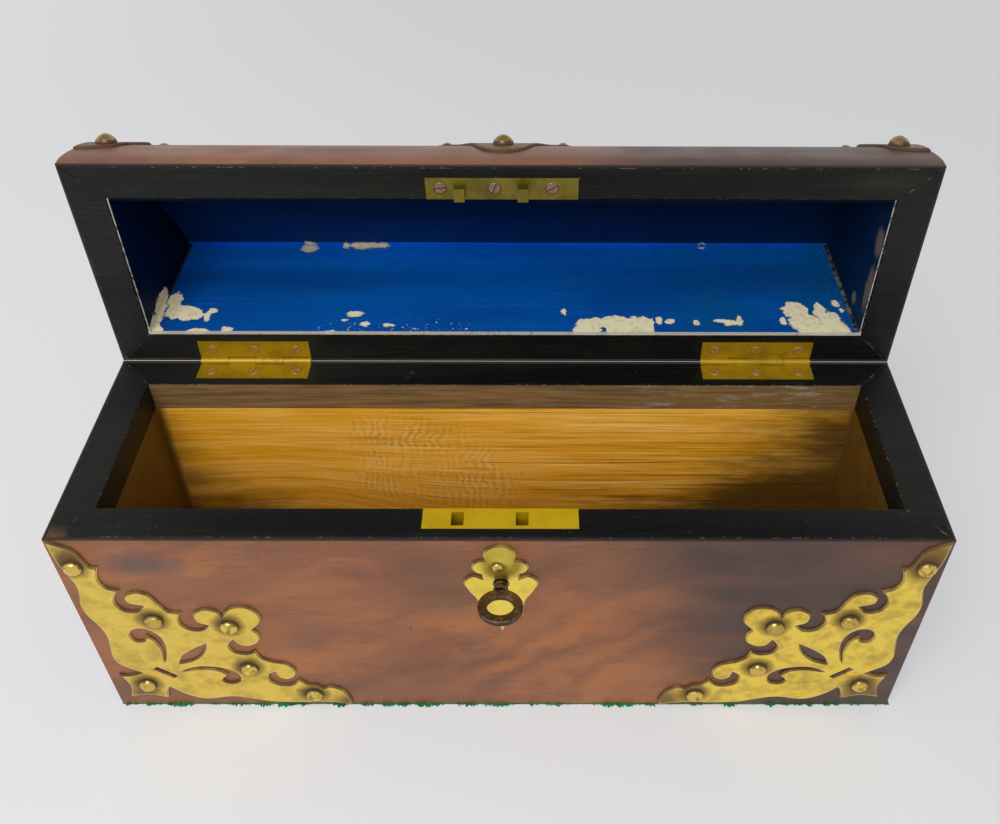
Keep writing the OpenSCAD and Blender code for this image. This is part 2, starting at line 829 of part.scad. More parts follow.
module lining_end(side) {
    from = min(side * in_w, side * (in_w - lining_t));
    color(blue) on_lid() intersection() {
        lid_hollow(lining_t, from, from + lining_t);
        block([from, -in_d, 0], [from + lining_t, in_d, lid_h]);
    }
}

module lining_left() lining_end(-1);

module lining_right() lining_end(1);

// Screws of the hinges
module body_hinge_screws() {
    color(old_brass) translate([0, 0, rim_z]) at_hinge_screws() screw(hinge_screw_r, hinge_head_t);
}

module lid_hinge_screws() {
    color(old_brass) on_lid() at_hinge_screws() mirror([0, 0, 1]) screw(hinge_screw_r, hinge_head_t);
}

// Flat part of the link plate, let into the lid's rim and running that far past its face
module link_plate_form(beyond) {
    block([-lock_half, -half_d + link_plate_y, -beyond],
        [lock_half, -half_d + link_plate_y + link_plate_w, link_plate_t]);
}

module at_link_screws() {
    for (x = link_screw_x) translate([x, -half_d + hook_y, 0]) mirror([0, 0, 1]) children();
}

// Link plate with its two hooks, each with an eye for the bolt
module link_plate() {
    color(brass) on_lid() difference() {
        union() {
            link_plate_form(0);
            for (x = hook_x)
                block([x - hook_w / 2, -half_d + hook_y - hook_d / 2, -hook_out],
                    [x + hook_w / 2, -half_d + hook_y + hook_d / 2, link_plate_t]);
        }
        for (x = hook_x)
            block([x - hook_w, -half_d + hook_y - bolt_t / 2 - running_gap, -hook_out + eye_from_tip],
                [x + hook_w, -half_d + hook_y + bolt_t / 2 + running_gap, -hook_out + eye_from_tip + eye_h]);
        at_link_screws() screw_hole(link_screw_r, link_head_t);
    }
}

module link_screws() {
    color(old_brass) on_lid() at_link_screws() screw(link_screw_r, link_head_t);
}

// Lock plate: the strip in the rim and the plate on the inside of the front, in one piece
module lock_plate() {
    color(brass) difference() {
        union() {
            block([-lock_half, -half_d + lock_y, rim_z - lock_t], [lock_half, -in_d, rim_z]);
            block([-lock_half, -in_d - lock_t, rim_z - lock_depth], [lock_half, -in_d, rim_z]);
        }
        for (x = hook_x)
            block([x - slot_w / 2, -half_d + hook_y - slot_d / 2, rim_z - lock_t - past],
                [x + slot_w / 2, -half_d + hook_y + slot_d / 2, rim_z + past]);
        at_lock_screws() screw_hole(lock_screw_r, lock_head_t);
    }
}

// Walls of the lock's case: two sides and the bottom
module lock_case() {
    top = rim_z - lock_t;
    bottom = rim_z - lock_depth + case_wall;
    color(old_brass) difference() {
        block([-case_half, -half_d + case_in_y, bottom], [case_half, -half_d + case_out_y, top]);
        block([-case_half + case_wall, -half_d, bottom + case_wall], [case_half - case_wall, 0, top + past]);
    }
}

// Cover of the case, with the keyhole
module lock_cap() {
    color(old_brass) difference() {
        block([-case_half, -half_d + lock_y, rim_z - lock_depth + case_wall],
            [case_half, -half_d + case_in_y, rim_z - lock_t]);
        keyhole();
    }
}

// Bolt with two fingers that slide into the eyes of the hooks, and a notch for the key's bit
module lock_bolt() {
    back_y = -half_d + bolt_y - bolt_t / 2;
    front_y = back_y + bolt_t;
    bar_low = rim_z - bar_bottom;
    finger_low = rim_z - finger_z - finger_h / 2;
    post_x = [for (x = hook_x) x + hook_w / 2 + running_gap + finger_len];
    color(old_brass) difference() {
        union() {
            block([post_x[0] - bar_tail, back_y, bar_low], [post_x[1] + post_w, front_y, rim_z - bar_top]);
            for (x = post_x) {
                block([x, back_y, bar_low], [x + post_w, front_y, finger_low + finger_h]);
                block([x - finger_len, back_y, finger_low], [x + post_w, front_y, finger_low + finger_h]);
            }
        }
        block([bolt_travel / 2 - talon_w / 2, back_y - past, bar_low - past],
            [bolt_travel / 2 + talon_w / 2, front_y + past, rim_z - talon_top]);
    }
}

// Bent spring between the lock plate and the bolt
module lock_spring() {
    centre_x = spring_x + spring_r;
    centre_z = rim_z - bar_top + running_gap + spring_r;
    from = -half_d + bolt_y - spring_w / 2;
    inner_r = spring_r - spring_t;
    color(old_brass) intersection() {
        block([centre_x - spring_r, from, centre_z - spring_r],
            [centre_x + spring_r, from + spring_w, rim_z - lock_t]);
        difference() {
            union() {
                rod_y(spring_r, from, from + spring_w, centre_x, centre_z);
                block([centre_x - spring_r, from, centre_z], [centre_x + spring_r, from + spring_w, rim_z]);
            }
            rod_y(inner_r, from - past, from + spring_w + past, centre_x, centre_z);
            block([centre_x - inner_r, from - past, centre_z],
                [centre_x + inner_r, from + spring_w + past, rim_z + past]);
        }
    }
}

// Drill pin on which the key turns
module lock_drill_pin() {
    color(iron) rod_y(drill_pin_r, key_end_y - drill_depth + running_gap, -half_d + case_out_y, 0, key_z);
}

module at_lock_screws() {
    for (x = [-1, 1]) for (z = [lock_screw_low, lock_screw_high])
        translate([x * (lock_half - lock_screw_inset), -in_d, rim_z - z]) rotate([-90, 0, 0]) children();
}

module lock_screws() {
    color(old_brass) at_lock_screws() screw(lock_screw_r, lock_head_t);
}

// Keyhole plate on the front
module escutcheon() {
    color(brass) difference() {
        translate([0, -half_d, escutcheon_z]) rotate([90, 0, 0])
            linear_extrude(mount_t) polygon(escutcheon_outline);
        keyhole();
        escutcheon_pin_hole();
    }
}

module at_escutcheon_pin() {
    translate([escutcheon_pin_at.x, -half_d - mount_t, escutcheon_z + escutcheon_pin_at.y])
        rotate([90, 0, 0]) children();
}

module escutcheon_pin_hole() {
    at_escutcheon_pin() stud_hole();
}

module escutcheon_pin() {
    color(brass) at_escutcheon_pin() stud(escutcheon_pin_r, escutcheon_pin_h);
}

// Key: the shaft with its collars, hollow end and bit
module key_shaft() {
    start = -half_d - key_out;
    collar_y = -half_d - mount_t - running_gap;
    color(iron) difference() {
        union() {
            rod_y(key_r, start, key_end_y, 0, key_z);
            rod_y(collar_r, start, start + collar_t, 0, key_z);
            rod_y(collar_r - collar_step, collar_y - collar_t, collar_y, 0, key_z);
            block([0, key_end_y - bit_len, key_z - bit_t / 2], [bit_reach, key_end_y, key_z + bit_t / 2]);
        }
        rod_y(drill_pin_r + pin_clearance, key_end_y - drill_depth, key_end_y + past, 0, key_z);
    }
}

// Bow of the key: a flat oval ring, which the shaft's collar meets
module key_bow() {
    start = -half_d - key_out;
    color(iron) translate([0, start - bow_len / 2, key_z]) intersection() {
        translate([0, 0, -bow_t / 2]) linear_extrude(bow_t) difference() {
            polygon(oval(bow_w, bow_len + 2 * bow_merge));
            polygon(oval(bow_w - 2 * bow_rim, bow_len + 2 * bow_merge - 2 * bow_rim));
        }
        block([-bow_w, -bow_len, -bow_t], [bow_w, bow_len / 2, bow_t]);
    }
}

function oval(w, d) = [for (a = [0 : 10 : 350]) [w / 2 * cos(a), d / 2 * sin(a)]];

// Strapwork on a lower front corner
module front_mount(side) {
    color(brass) difference() {
        translate([side * half_w, -half_d, baize_t]) rotate([90, 0, 0]) linear_extrude(mount_t)
            scale([-side * outline_scale.x, outline_scale.y]) difference() {
                polygon(front_mount_outline);
                for (cut = front_mount_cuts) polygon(cut);
            }
        for (place = front_stud_places) on_front(side, place) stud_hole();
    }
}

module front_mount_left() front_mount(-1);

module front_mount_right() front_mount(1);

module front_studs() {
    color(old_brass)
        for (side = [-1, 1]) for (place = front_stud_places) on_front(side, place) stud(stud_r, stud_h);
}

// Place of the large stud of each lid mount, and of the small studs
lid_mount_x = [-half_w + lid_stud_inset, 0, half_w - lid_stud_inset];
small_stud_spots = [
    [lid_mount_x[0] + end_small_stud_at.x, end_small_stud_at.y],
    [-small_stud_at.x, small_stud_at.y],
    [small_stud_at.x, small_stud_at.y],
    [lid_mount_x[2] - end_small_stud_at.x, end_small_stud_at.y]
];

// Puts what is drawn on z = 0 on the face of a lid mount, that far round the lid's curve
module on_curve(x, round_by) {
    angle = lid_stud_angle + round_by / lid_r * 180 / PI;
    translate([x, arc_y - (lid_r + mount_t) * cos(angle), arc_z + (lid_r + mount_t) * sin(angle)])
        rotate([90 - angle, 0, 0]) children();
}

module at_lid_studs() {
    for (x = lid_mount_x) on_curve(x, 0) children();
}

module at_small_studs() {
    for (spot = small_stud_spots) on_curve(spot.x, spot.y) children();
}

module lid_stud_holes() {
    at_lid_studs() stud_hole();
    at_small_studs() stud_hole();
}

// Strapwork bent round the lid, from its flat outline and openings
module lid_mount(x, flat, cuts) {
    color(brass) on_lid() difference() {
        intersection() {
            rod_x(lid_r + mount_t, -half_w + edge_gap, half_w - edge_gap, arc_y, arc_z);
            translate([x, arc_y, arc_z]) rotate([90 - mount_mid_angle, 0, 0])
                linear_extrude(2 * lid_r) difference() {
                    polygon([for (p = flat) bent(p)]);
                    for (cut = cuts) polygon([for (p = cut) bent(p)]);
                }
        }
        rod_x(lid_r, -half_w - past, half_w + past, arc_y, arc_z);
        lid_stud_holes();
    }
}

module lid_mount_left() lid_mount(lid_mount_x[0], end_mount_outline, end_mount_cuts);

module lid_mount_centre() lid_mount(lid_mount_x[1], lid_mount_outline, lid_mount_cuts);

module lid_mount_right() {
    flat = [for (p = end_mount_outline) mirrored(p)];
    cuts = [for (cut = end_mount_cuts) [for (p = cut) mirrored(p)]];
    lid_mount(lid_mount_x[2], flat, cuts);
}

module lid_studs() {
    color(old_brass) on_lid() at_lid_studs() stud(lid_stud_r, lid_stud_h);
}

module lid_small_studs() {
    color(old_brass) on_lid() at_small_studs() stud(small_stud_r, small_stud_h);
}

front_board();
back_board();
left_board();
right_board();
bottom_board();
rim_front();
rim_back();
rim_left();
rim_right();
veneer_front();
veneer_back();
veneer_left();
veneer_right();
base_baize();
lid_back_board();
lid_left_cheek();
lid_right_cheek();
lid_curved_front();
lid_rim_front();
lid_rim_back();
lid_rim_left();
lid_rim_right();
lid_veneer_top();
lid_veneer_back();
lid_veneer_left();
lid_veneer_right();
lining_vault();
lining_back();
lining_left();
lining_right();
hinge_left_body_leaf();
hinge_left_lid_leaf();
hinge_left_pin();
hinge_right_body_leaf();
hinge_right_lid_leaf();
hinge_right_pin();
body_hinge_screws();
lid_hinge_screws();
link_plate();
link_screws();
lock_plate();
lock_case();
lock_cap();
lock_bolt();
lock_spring();
lock_drill_pin();
lock_screws();
escutcheon();
escutcheon_pin();
key_shaft();
key_bow();
front_mount_left();
front_mount_right();
front_studs();
lid_mount_left();
lid_mount_centre();
lid_mount_right();
lid_studs();
lid_small_studs();
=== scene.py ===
"""The finish and the small fittings of an old walnut box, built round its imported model."""

import logging
import math
from dataclasses import dataclass
from enum import Enum
from typing import Iterable, Sequence
import bmesh
import bpy
from mathutils import Matrix, Vector
from mathutils.geometry import tessellate_polygon


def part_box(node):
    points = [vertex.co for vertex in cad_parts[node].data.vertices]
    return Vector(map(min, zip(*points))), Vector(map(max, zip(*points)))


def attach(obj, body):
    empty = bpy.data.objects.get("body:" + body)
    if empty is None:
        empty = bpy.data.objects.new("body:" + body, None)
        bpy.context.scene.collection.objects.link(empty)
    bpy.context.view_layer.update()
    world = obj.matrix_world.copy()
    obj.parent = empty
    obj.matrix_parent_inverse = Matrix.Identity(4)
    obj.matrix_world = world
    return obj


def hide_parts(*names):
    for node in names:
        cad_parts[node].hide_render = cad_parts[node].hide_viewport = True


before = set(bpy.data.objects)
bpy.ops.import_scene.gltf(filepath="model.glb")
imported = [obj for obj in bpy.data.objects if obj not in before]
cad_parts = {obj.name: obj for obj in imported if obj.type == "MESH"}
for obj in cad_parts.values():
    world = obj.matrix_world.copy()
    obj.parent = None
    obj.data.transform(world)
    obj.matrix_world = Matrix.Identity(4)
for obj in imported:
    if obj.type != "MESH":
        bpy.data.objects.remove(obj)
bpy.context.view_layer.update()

log = logging.getLogger("box")

MM = 0.001
PER_METRE = 1000.0
WELD = 2e-6
SMOOTH_BELOW = math.radians(20)

Colour = tuple[float, float, float]
Place = tuple[float, float, float]


class Body(Enum):
    """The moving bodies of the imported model."""

    CASE = "case"
    LID = "lid"
    KEY = "key"


class Slot(Enum):
    """The record's material slots."""

    BIRCH = "birch"
    EBONY = "ebony"
    WALNUT = "walnut"
    BAIZE = "baize"
    SILK = "silk"
    IRON = "key_iron"
    WORN_BRASS = "worn_brass"
    BRASS = "brass"


class Graph:
    """Adds nodes to one shader or geometry tree and joins them."""

    def __init__(self, tree: bpy.types.NodeTree) -> None:
        """Keeps the tree that the nodes go into.

        Args:
            tree: The node tree to build in.
        """
        self.tree = tree

    def node(self, kind: str, inputs: dict | None = None, **settings) -> bpy.types.Node:
        """Adds one node.

        Args:
            kind: The node's type name.
            inputs: Values or sockets for its inputs, by socket name or number.
            settings: Properties to set on the node before its inputs.

        Returns:
            The new node.
        """
        made = self.tree.nodes.new(kind)
        for name, value in settings.items():
            setattr(made, name, value)
        for name, value in (inputs or {}).items():
            self.feed(made.inputs[name], value)
        return made

    def feed(self, socket: bpy.types.NodeSocket, value) -> None:
        """Joins a socket to an input, or sets the input's own value.

        Args:
            socket: The input to fill.
            value: An output socket, a number or a tuple.
        """
        if isinstance(value, bpy.types.NodeSocket):
            self.tree.links.new(value, socket)
        elif socket.type == "RGBA" and len(value) == 3:
            socket.default_value = (*value, 1.0)
        else:
            socket.default_value = value

    def math(self, operation: str, *values) -> bpy.types.NodeSocket:
        """Returns the result of one Math node on the given values."""
        return self.node("ShaderNodeMath", dict(enumerate(values)), operation=operation).outputs[0]

    def vector(self, operation: str, *values) -> bpy.types.NodeSocket:
        """Returns the vector result of one Vector Math node; SCALE takes its factor second."""
        if operation == "SCALE":
            inputs = {0: values[0], "Scale": values[1]}
        else:
            inputs = dict(enumerate(values))
        return self.node("ShaderNodeVectorMath", inputs, operation=operation).outputs["Vector"]

    def length(self, value) -> bpy.types.NodeSocket:
        """Returns the length of a vector."""
        made = self.node("ShaderNodeVectorMath", {0: value}, operation="LENGTH")
        return made.outputs["Value"]

    def axes(self, value) -> tuple:
        """Returns the three parts of a vector."""
        return tuple(self.node("ShaderNodeSeparateXYZ", {0: value}).outputs)

    def ramp(self, value, low: float, high: float, start=0.0, end=1.0) -> bpy.types.NodeSocket:
        """Maps a range smoothly on to another.

        Args:
            value: The value to map.
            low: The value that gives start.
            high: The value that gives end.
            start: The result at low and below.
            end: The result at high and above.

        Returns:
            The mapped value.
        """
        inputs = {"Value": value, "From Min": low, "From Max": high, "To Min": start, "To Max": end}
        made = self.node("ShaderNodeMapRange", inputs, interpolation_type="SMOOTHSTEP")
        return made.outputs["Result"]

    def mix(self, factor, first, second) -> bpy.types.NodeSocket:
        """Returns a colour between two others."""
        made = self.node("ShaderNodeMix", data_type="RGBA")
        self.feed(made.inputs[0], factor)
        self.feed(made.inputs[6], first)
        self.feed(made.inputs[7], second)
        return made.outputs[2]

    def blend(self, factor, first, second) -> bpy.types.NodeSocket:
        """Returns a number between two others."""
        made = self.node("ShaderNodeMix", data_type="FLOAT")
        self.feed(made.inputs[0], factor)
        self.feed(made.inputs[2], first)
        self.feed(made.inputs[3], second)
        return made.outputs[0]

    def noise(self, place, scale: float, detail: float = 3.0, rough: float = 0.5) -> bpy.types.Node:
        """Returns a noise node; its outputs are Fac and Color."""
        inputs = {"Vector": place, "Scale": scale, "Detail": detail, "Roughness": rough}
        return self.node("ShaderNodeTexNoise", inputs)

    def group(self, tree: bpy.types.NodeTree, **inputs) -> bpy.types.Node:
        """Places a shared group.

        Args:
            tree: The group to place.
            inputs: Its input values, by socket name with underscores for spaces.

        Returns:
            The group's node.
        """
        made = self.tree.nodes.new("ShaderNodeGroup")
        made.node_tree = tree
        for name, value in inputs.items():
            self.feed(made.inputs[name.replace("_", " ")], value)
        return made

    def place_mm(self) -> bpy.types.NodeSocket:
        """Returns the place on the piece in millimetres."""
        coordinates = self.node("ShaderNodeTexCoord")
        return self.vector("SCALE", coordinates.outputs["Object"], PER_METRE)

    def attribute(self, name: str) -> bpy.types.NodeSocket:
        """Returns a number kept on the mesh under the given name."""
        return self.node("ShaderNodeAttribute", attribute_name=name).outputs["Fac"]

    def bump(self, height, strength: float, distance: float) -> bpy.types.NodeSocket:
        """Returns a normal bent by a height; distance is in metres."""
        inputs = {"Height": height, "Strength": strength, "Distance": distance}
        return self.node("ShaderNodeBump", inputs).outputs["Normal"]


class SharedGroup:
    """One shader node group, with its inputs and outputs, built once."""

    def __init__(self, name: str, inputs: dict[str, object], outputs: Sequence[str]) -> None:
        """Starts the group's tree.

        Args:
            name: The group's name.
            inputs: Its inputs and their defaults; a tuple makes a vector input.
            outputs: The names of its number outputs.
        """
        self.tree = bpy.data.node_groups.new(name, "ShaderNodeTree")
        for label, default in inputs.items():
            kind = "NodeSocketVector" if isinstance(default, tuple) else "NodeSocketFloat"
            socket = self.tree.interface.new_socket(label, in_out="INPUT", socket_type=kind)
            socket.default_value = default
        for label in outputs:
            kind = "NodeSocketVector" if label == "Moved" else "NodeSocketFloat"
            self.tree.interface.new_socket(label, in_out="OUTPUT", socket_type=kind)
        self.graph = Graph(self.tree)
        self.into = self.tree.nodes.new("NodeGroupInput").outputs
        self.out = self.tree.nodes.new("NodeGroupOutput").inputs

    def give(self, name: str, value: bpy.types.NodeSocket) -> None:
        """Joins a result to one of the outputs."""
        self.tree.links.new(value, self.out[name])


def wood_grain() -> bpy.types.NodeTree:
    """Builds the wood group: bands of figure, a slow cloud, fine pores and stray flecks.

    Returns:
        The group, with Place in millimetres and Along, the stretch of the pattern on each axis.
    """
    made = SharedGroup(
        "Wood grain",
        {"Place": (0.0, 0.0, 0.0), "Along": (0.01, 0.05, 0.05), "Warp": 1.0, "Bands": 9.0, "Pore": 1.0},
        ("Figure", "Cloud", "Pores", "Flecks"),
    )
    g, i = made.graph, made.into
    drawn = g.vector("MULTIPLY", i["Place"], i["Along"])
    bend = g.vector("SUBTRACT", g.noise(drawn, 0.9, 2).outputs["Color"], (0.5, 0.5, 0.5))
    moved = g.vector("ADD", drawn, g.vector("SCALE", bend, i["Warp"]))
    cloud = g.noise(moved, 0.7, 4).outputs["Fac"]
    bands = g.math("SINE", g.math("MULTIPLY", cloud, g.math("MULTIPLY", i["Bands"], math.tau)))
    fine = g.noise(g.vector("MULTIPLY", moved, (1.0, 5.0, 5.0)), 3.0, 5, 0.6).outputs["Fac"]
    figure = g.math("ADD", g.math("MULTIPLY", bands, 0.25), g.math("MULTIPLY", fine, 1.0))
    made.give("Figure", figure)
    made.give("Cloud", g.noise(moved, 0.35, 3).outputs["Fac"])
    close = g.vector("SCALE", g.vector("MULTIPLY", i["Place"], i["Along"]), i["Pore"])
    pores = g.noise(g.vector("MULTIPLY", close, (3.0, 30.0, 30.0)), 1.0, 2, 0.6).outputs["Fac"]
    made.give("Pores", g.ramp(pores, 0.56, 0.72))
    flecks = g.noise(i["Place"], 0.35, 5, 0.65).outputs["Fac"]
    made.give("Flecks", g.ramp(flecks, 0.66, 0.72))
    return made.tree


def edge_wear() -> bpy.types.NodeTree:
    """Builds the wear group: how far an edge face is rubbed bare at a place.

    Returns:
        The group, with Edge from the mesh, Cover from 0 to 1 and Scale per millimetre.
    """
    made = SharedGroup(
        "Edge wear",
        {"Place": (0.0, 0.0, 0.0), "Edge": 0.0, "Cover": 0.5, "Scale": 0.3},
        ("Mask",),
    )
    g, i = made.graph, made.into
    noise = g.noise(g.vector("SCALE", i["Place"], i["Scale"]), 1.0, 5, 0.65).outputs["Fac"]
    limit = g.math("SUBTRACT", 0.72, g.math("MULTIPLY", i["Cover"], 0.44))
    rubbed = g.math("MULTIPLY", g.math("SUBTRACT", noise, limit), 12.0)
    made.give("Mask", g.math("MULTIPLY", g.node("ShaderNodeClamp", {0: rubbed}).outputs[0], i["Edge"]))
    return made.tree


def tarnish() -> bpy.types.NodeTree:
    """Builds the tarnish group: broad blotches, small dark speckles and fine scratches.

    Returns:
        The group, with Amount from 0 to 1 and Scale per millimetre.
    """
    made = SharedGroup(
        "Tarnish",
        {"Place": (0.0, 0.0, 0.0), "Amount": 0.5, "Scale": 0.2},
        ("Blotch", "Speckle", "Scratch"),
    )
    g, i = made.graph, made.into
    sized = g.vector("SCALE", i["Place"], i["Scale"])
    broad = g.noise(sized, 1.0, 6, 0.6).outputs["Fac"]
    low = g.math("SUBTRACT", 0.68, g.math("MULTIPLY", i["Amount"], 0.3))
    blotch = g.math("MULTIPLY", g.math("SUBTRACT", broad, low), 5.0)
    made.give("Blotch", g.node("ShaderNodeClamp", {0: blotch}).outputs[0])
    small = g.noise(sized, 9.0, 3, 0.7).outputs["Fac"]
    point = g.math("MULTIPLY", g.math("SUBTRACT", small, g.math("ADD", low, 0.12)), 9.0)
    made.give("Speckle", g.node("ShaderNodeClamp", {0: point}).outputs[0])
    turned = g.node("ShaderNodeVectorRotate", {"Vector": i["Place"], "Axis": (0.3, 1, 0.2), "Angle": 0.7})
    lines = g.noise(g.vector("MULTIPLY", turned.outputs[0], (0.25, 6.0, 6.0)), 1.0, 2, 0.5).outputs["Fac"]
    made.give("Scratch", g.ramp(lines, 0.60, 0.70))
    return made.tree


def ragged() -> bpy.types.NodeTree:
    """Builds the group that moves a place by a coarse and a fine noise, for torn outlines.

    Returns:
        The group, with Reach in millimetres and Scale per millimetre.
    """
    made = SharedGroup(
        "Ragged place",
        {"Place": (0.0, 0.0, 0.0), "Reach": 3.0, "Scale": 0.2},
        ("Moved",),
    )
    g, i = made.graph, made.into
    sized = g.vector("SCALE", i["Place"], i["Scale"])
    wander = g.vector("SUBTRACT", g.noise(sized, 1.0, 5, 0.62).outputs["Color"], (0.5, 0.5, 0.5))
    step = g.vector("SCALE", wander, g.math("MULTIPLY", i["Reach"], 2.0))
    made.give("Moved", g.vector("ADD", i["Place"], step))
    return made.tree


def spot() -> bpy.types.NodeTree:
    """Builds the group for one oval patch: 1 inside, 0 outside.

    Returns:
        The group, with the oval's Centre and half Size in millimetres and the Blur of its edge.
    """
    made = SharedGroup(
        "Spot",
        {"Place": (0.0, 0.0, 0.0), "Centre": (0.0, 0.0, 0.0), "Size": (1.0, 1.0, 1.0), "Blur": 0.1},
        ("Mask",),
    )
    g, i = made.graph, made.into
    away = g.vector("DIVIDE", g.vector("SUBTRACT", i["Place"], i["Centre"]), i["Size"])
    over = g.math("SUBTRACT", g.math("ADD", 1.0, i["Blur"]), g.length(away))
    soft = g.math("DIVIDE", over, g.math("MULTIPLY", i["Blur"], 2.0))
    made.give("Mask", g.node("ShaderNodeClamp", {0: soft}).outputs[0])
    return made.tree


GRAIN = wood_grain()
WEAR = edge_wear()
TARNISH = tarnish()
RAGGED = ragged()
SPOT = spot()


@dataclass(frozen=True)
class Spot:
    """An oval place on the box, in millimetres."""

    centre: Place
    size: Place

    def mask(self, g: Graph, place: bpy.types.NodeSocket, blur: float = 0.08) -> bpy.types.NodeSocket:
        """Returns 1 inside the oval and 0 outside it."""
        made = g.group(SPOT, Place=place, Centre=self.centre, Size=self.size, Blur=blur)
        return made.outputs["Mask"]


def lit_spots(*rows: tuple[float, ...]) -> tuple[Spot, ...]:
    """Returns ovals on the lid's lit lining, from rows of x, y, half width and half depth."""
    return tuple(Spot((x, y, 112.6), (wide, deep, 3.0)) for x, y, wide, deep in rows)


def any_of(g: Graph, masks: Iterable[bpy.types.NodeSocket]) -> bpy.types.NodeSocket:
    """Returns the highest of several masks."""
    found = list(masks)
    result = found[0]
    for mask in found[1:]:
        result = g.math("MAXIMUM", result, mask)
    return result


class Finish:
    """A finish that makes its material once."""

    made: dict[str, bpy.types.Material] = {}

    def material(self) -> bpy.types.Material:
        """Returns the material of this finish, made on its first use."""
        key = repr(self)
        if key not in Finish.made:
            Finish.made[key] = self.build()
        return Finish.made[key]

    def build(self) -> bpy.types.Material:
        """Builds the material; each finish has its own."""
        raise NotImplementedError

    def start(self, name: str) -> tuple[bpy.types.Material, Graph, bpy.types.Node]:
        """Begins a material.

        Args:
            name: The material's name.

        Returns:
            The material, its graph and its Principled shader.
        """
        material = bpy.data.materials.new(name)
        material.use_nodes = True
        graph = Graph(material.node_tree)
        shader = material.node_tree.nodes["Principled BSDF"]
        return material, graph, shader

    def join(self, g: Graph, shader: bpy.types.Node, **inputs) -> None:
        """Fills the shader's inputs, by name with underscores for spaces."""
        for name, value in inputs.items():
            g.feed(shader.inputs[name.replace("_", " ")], value)


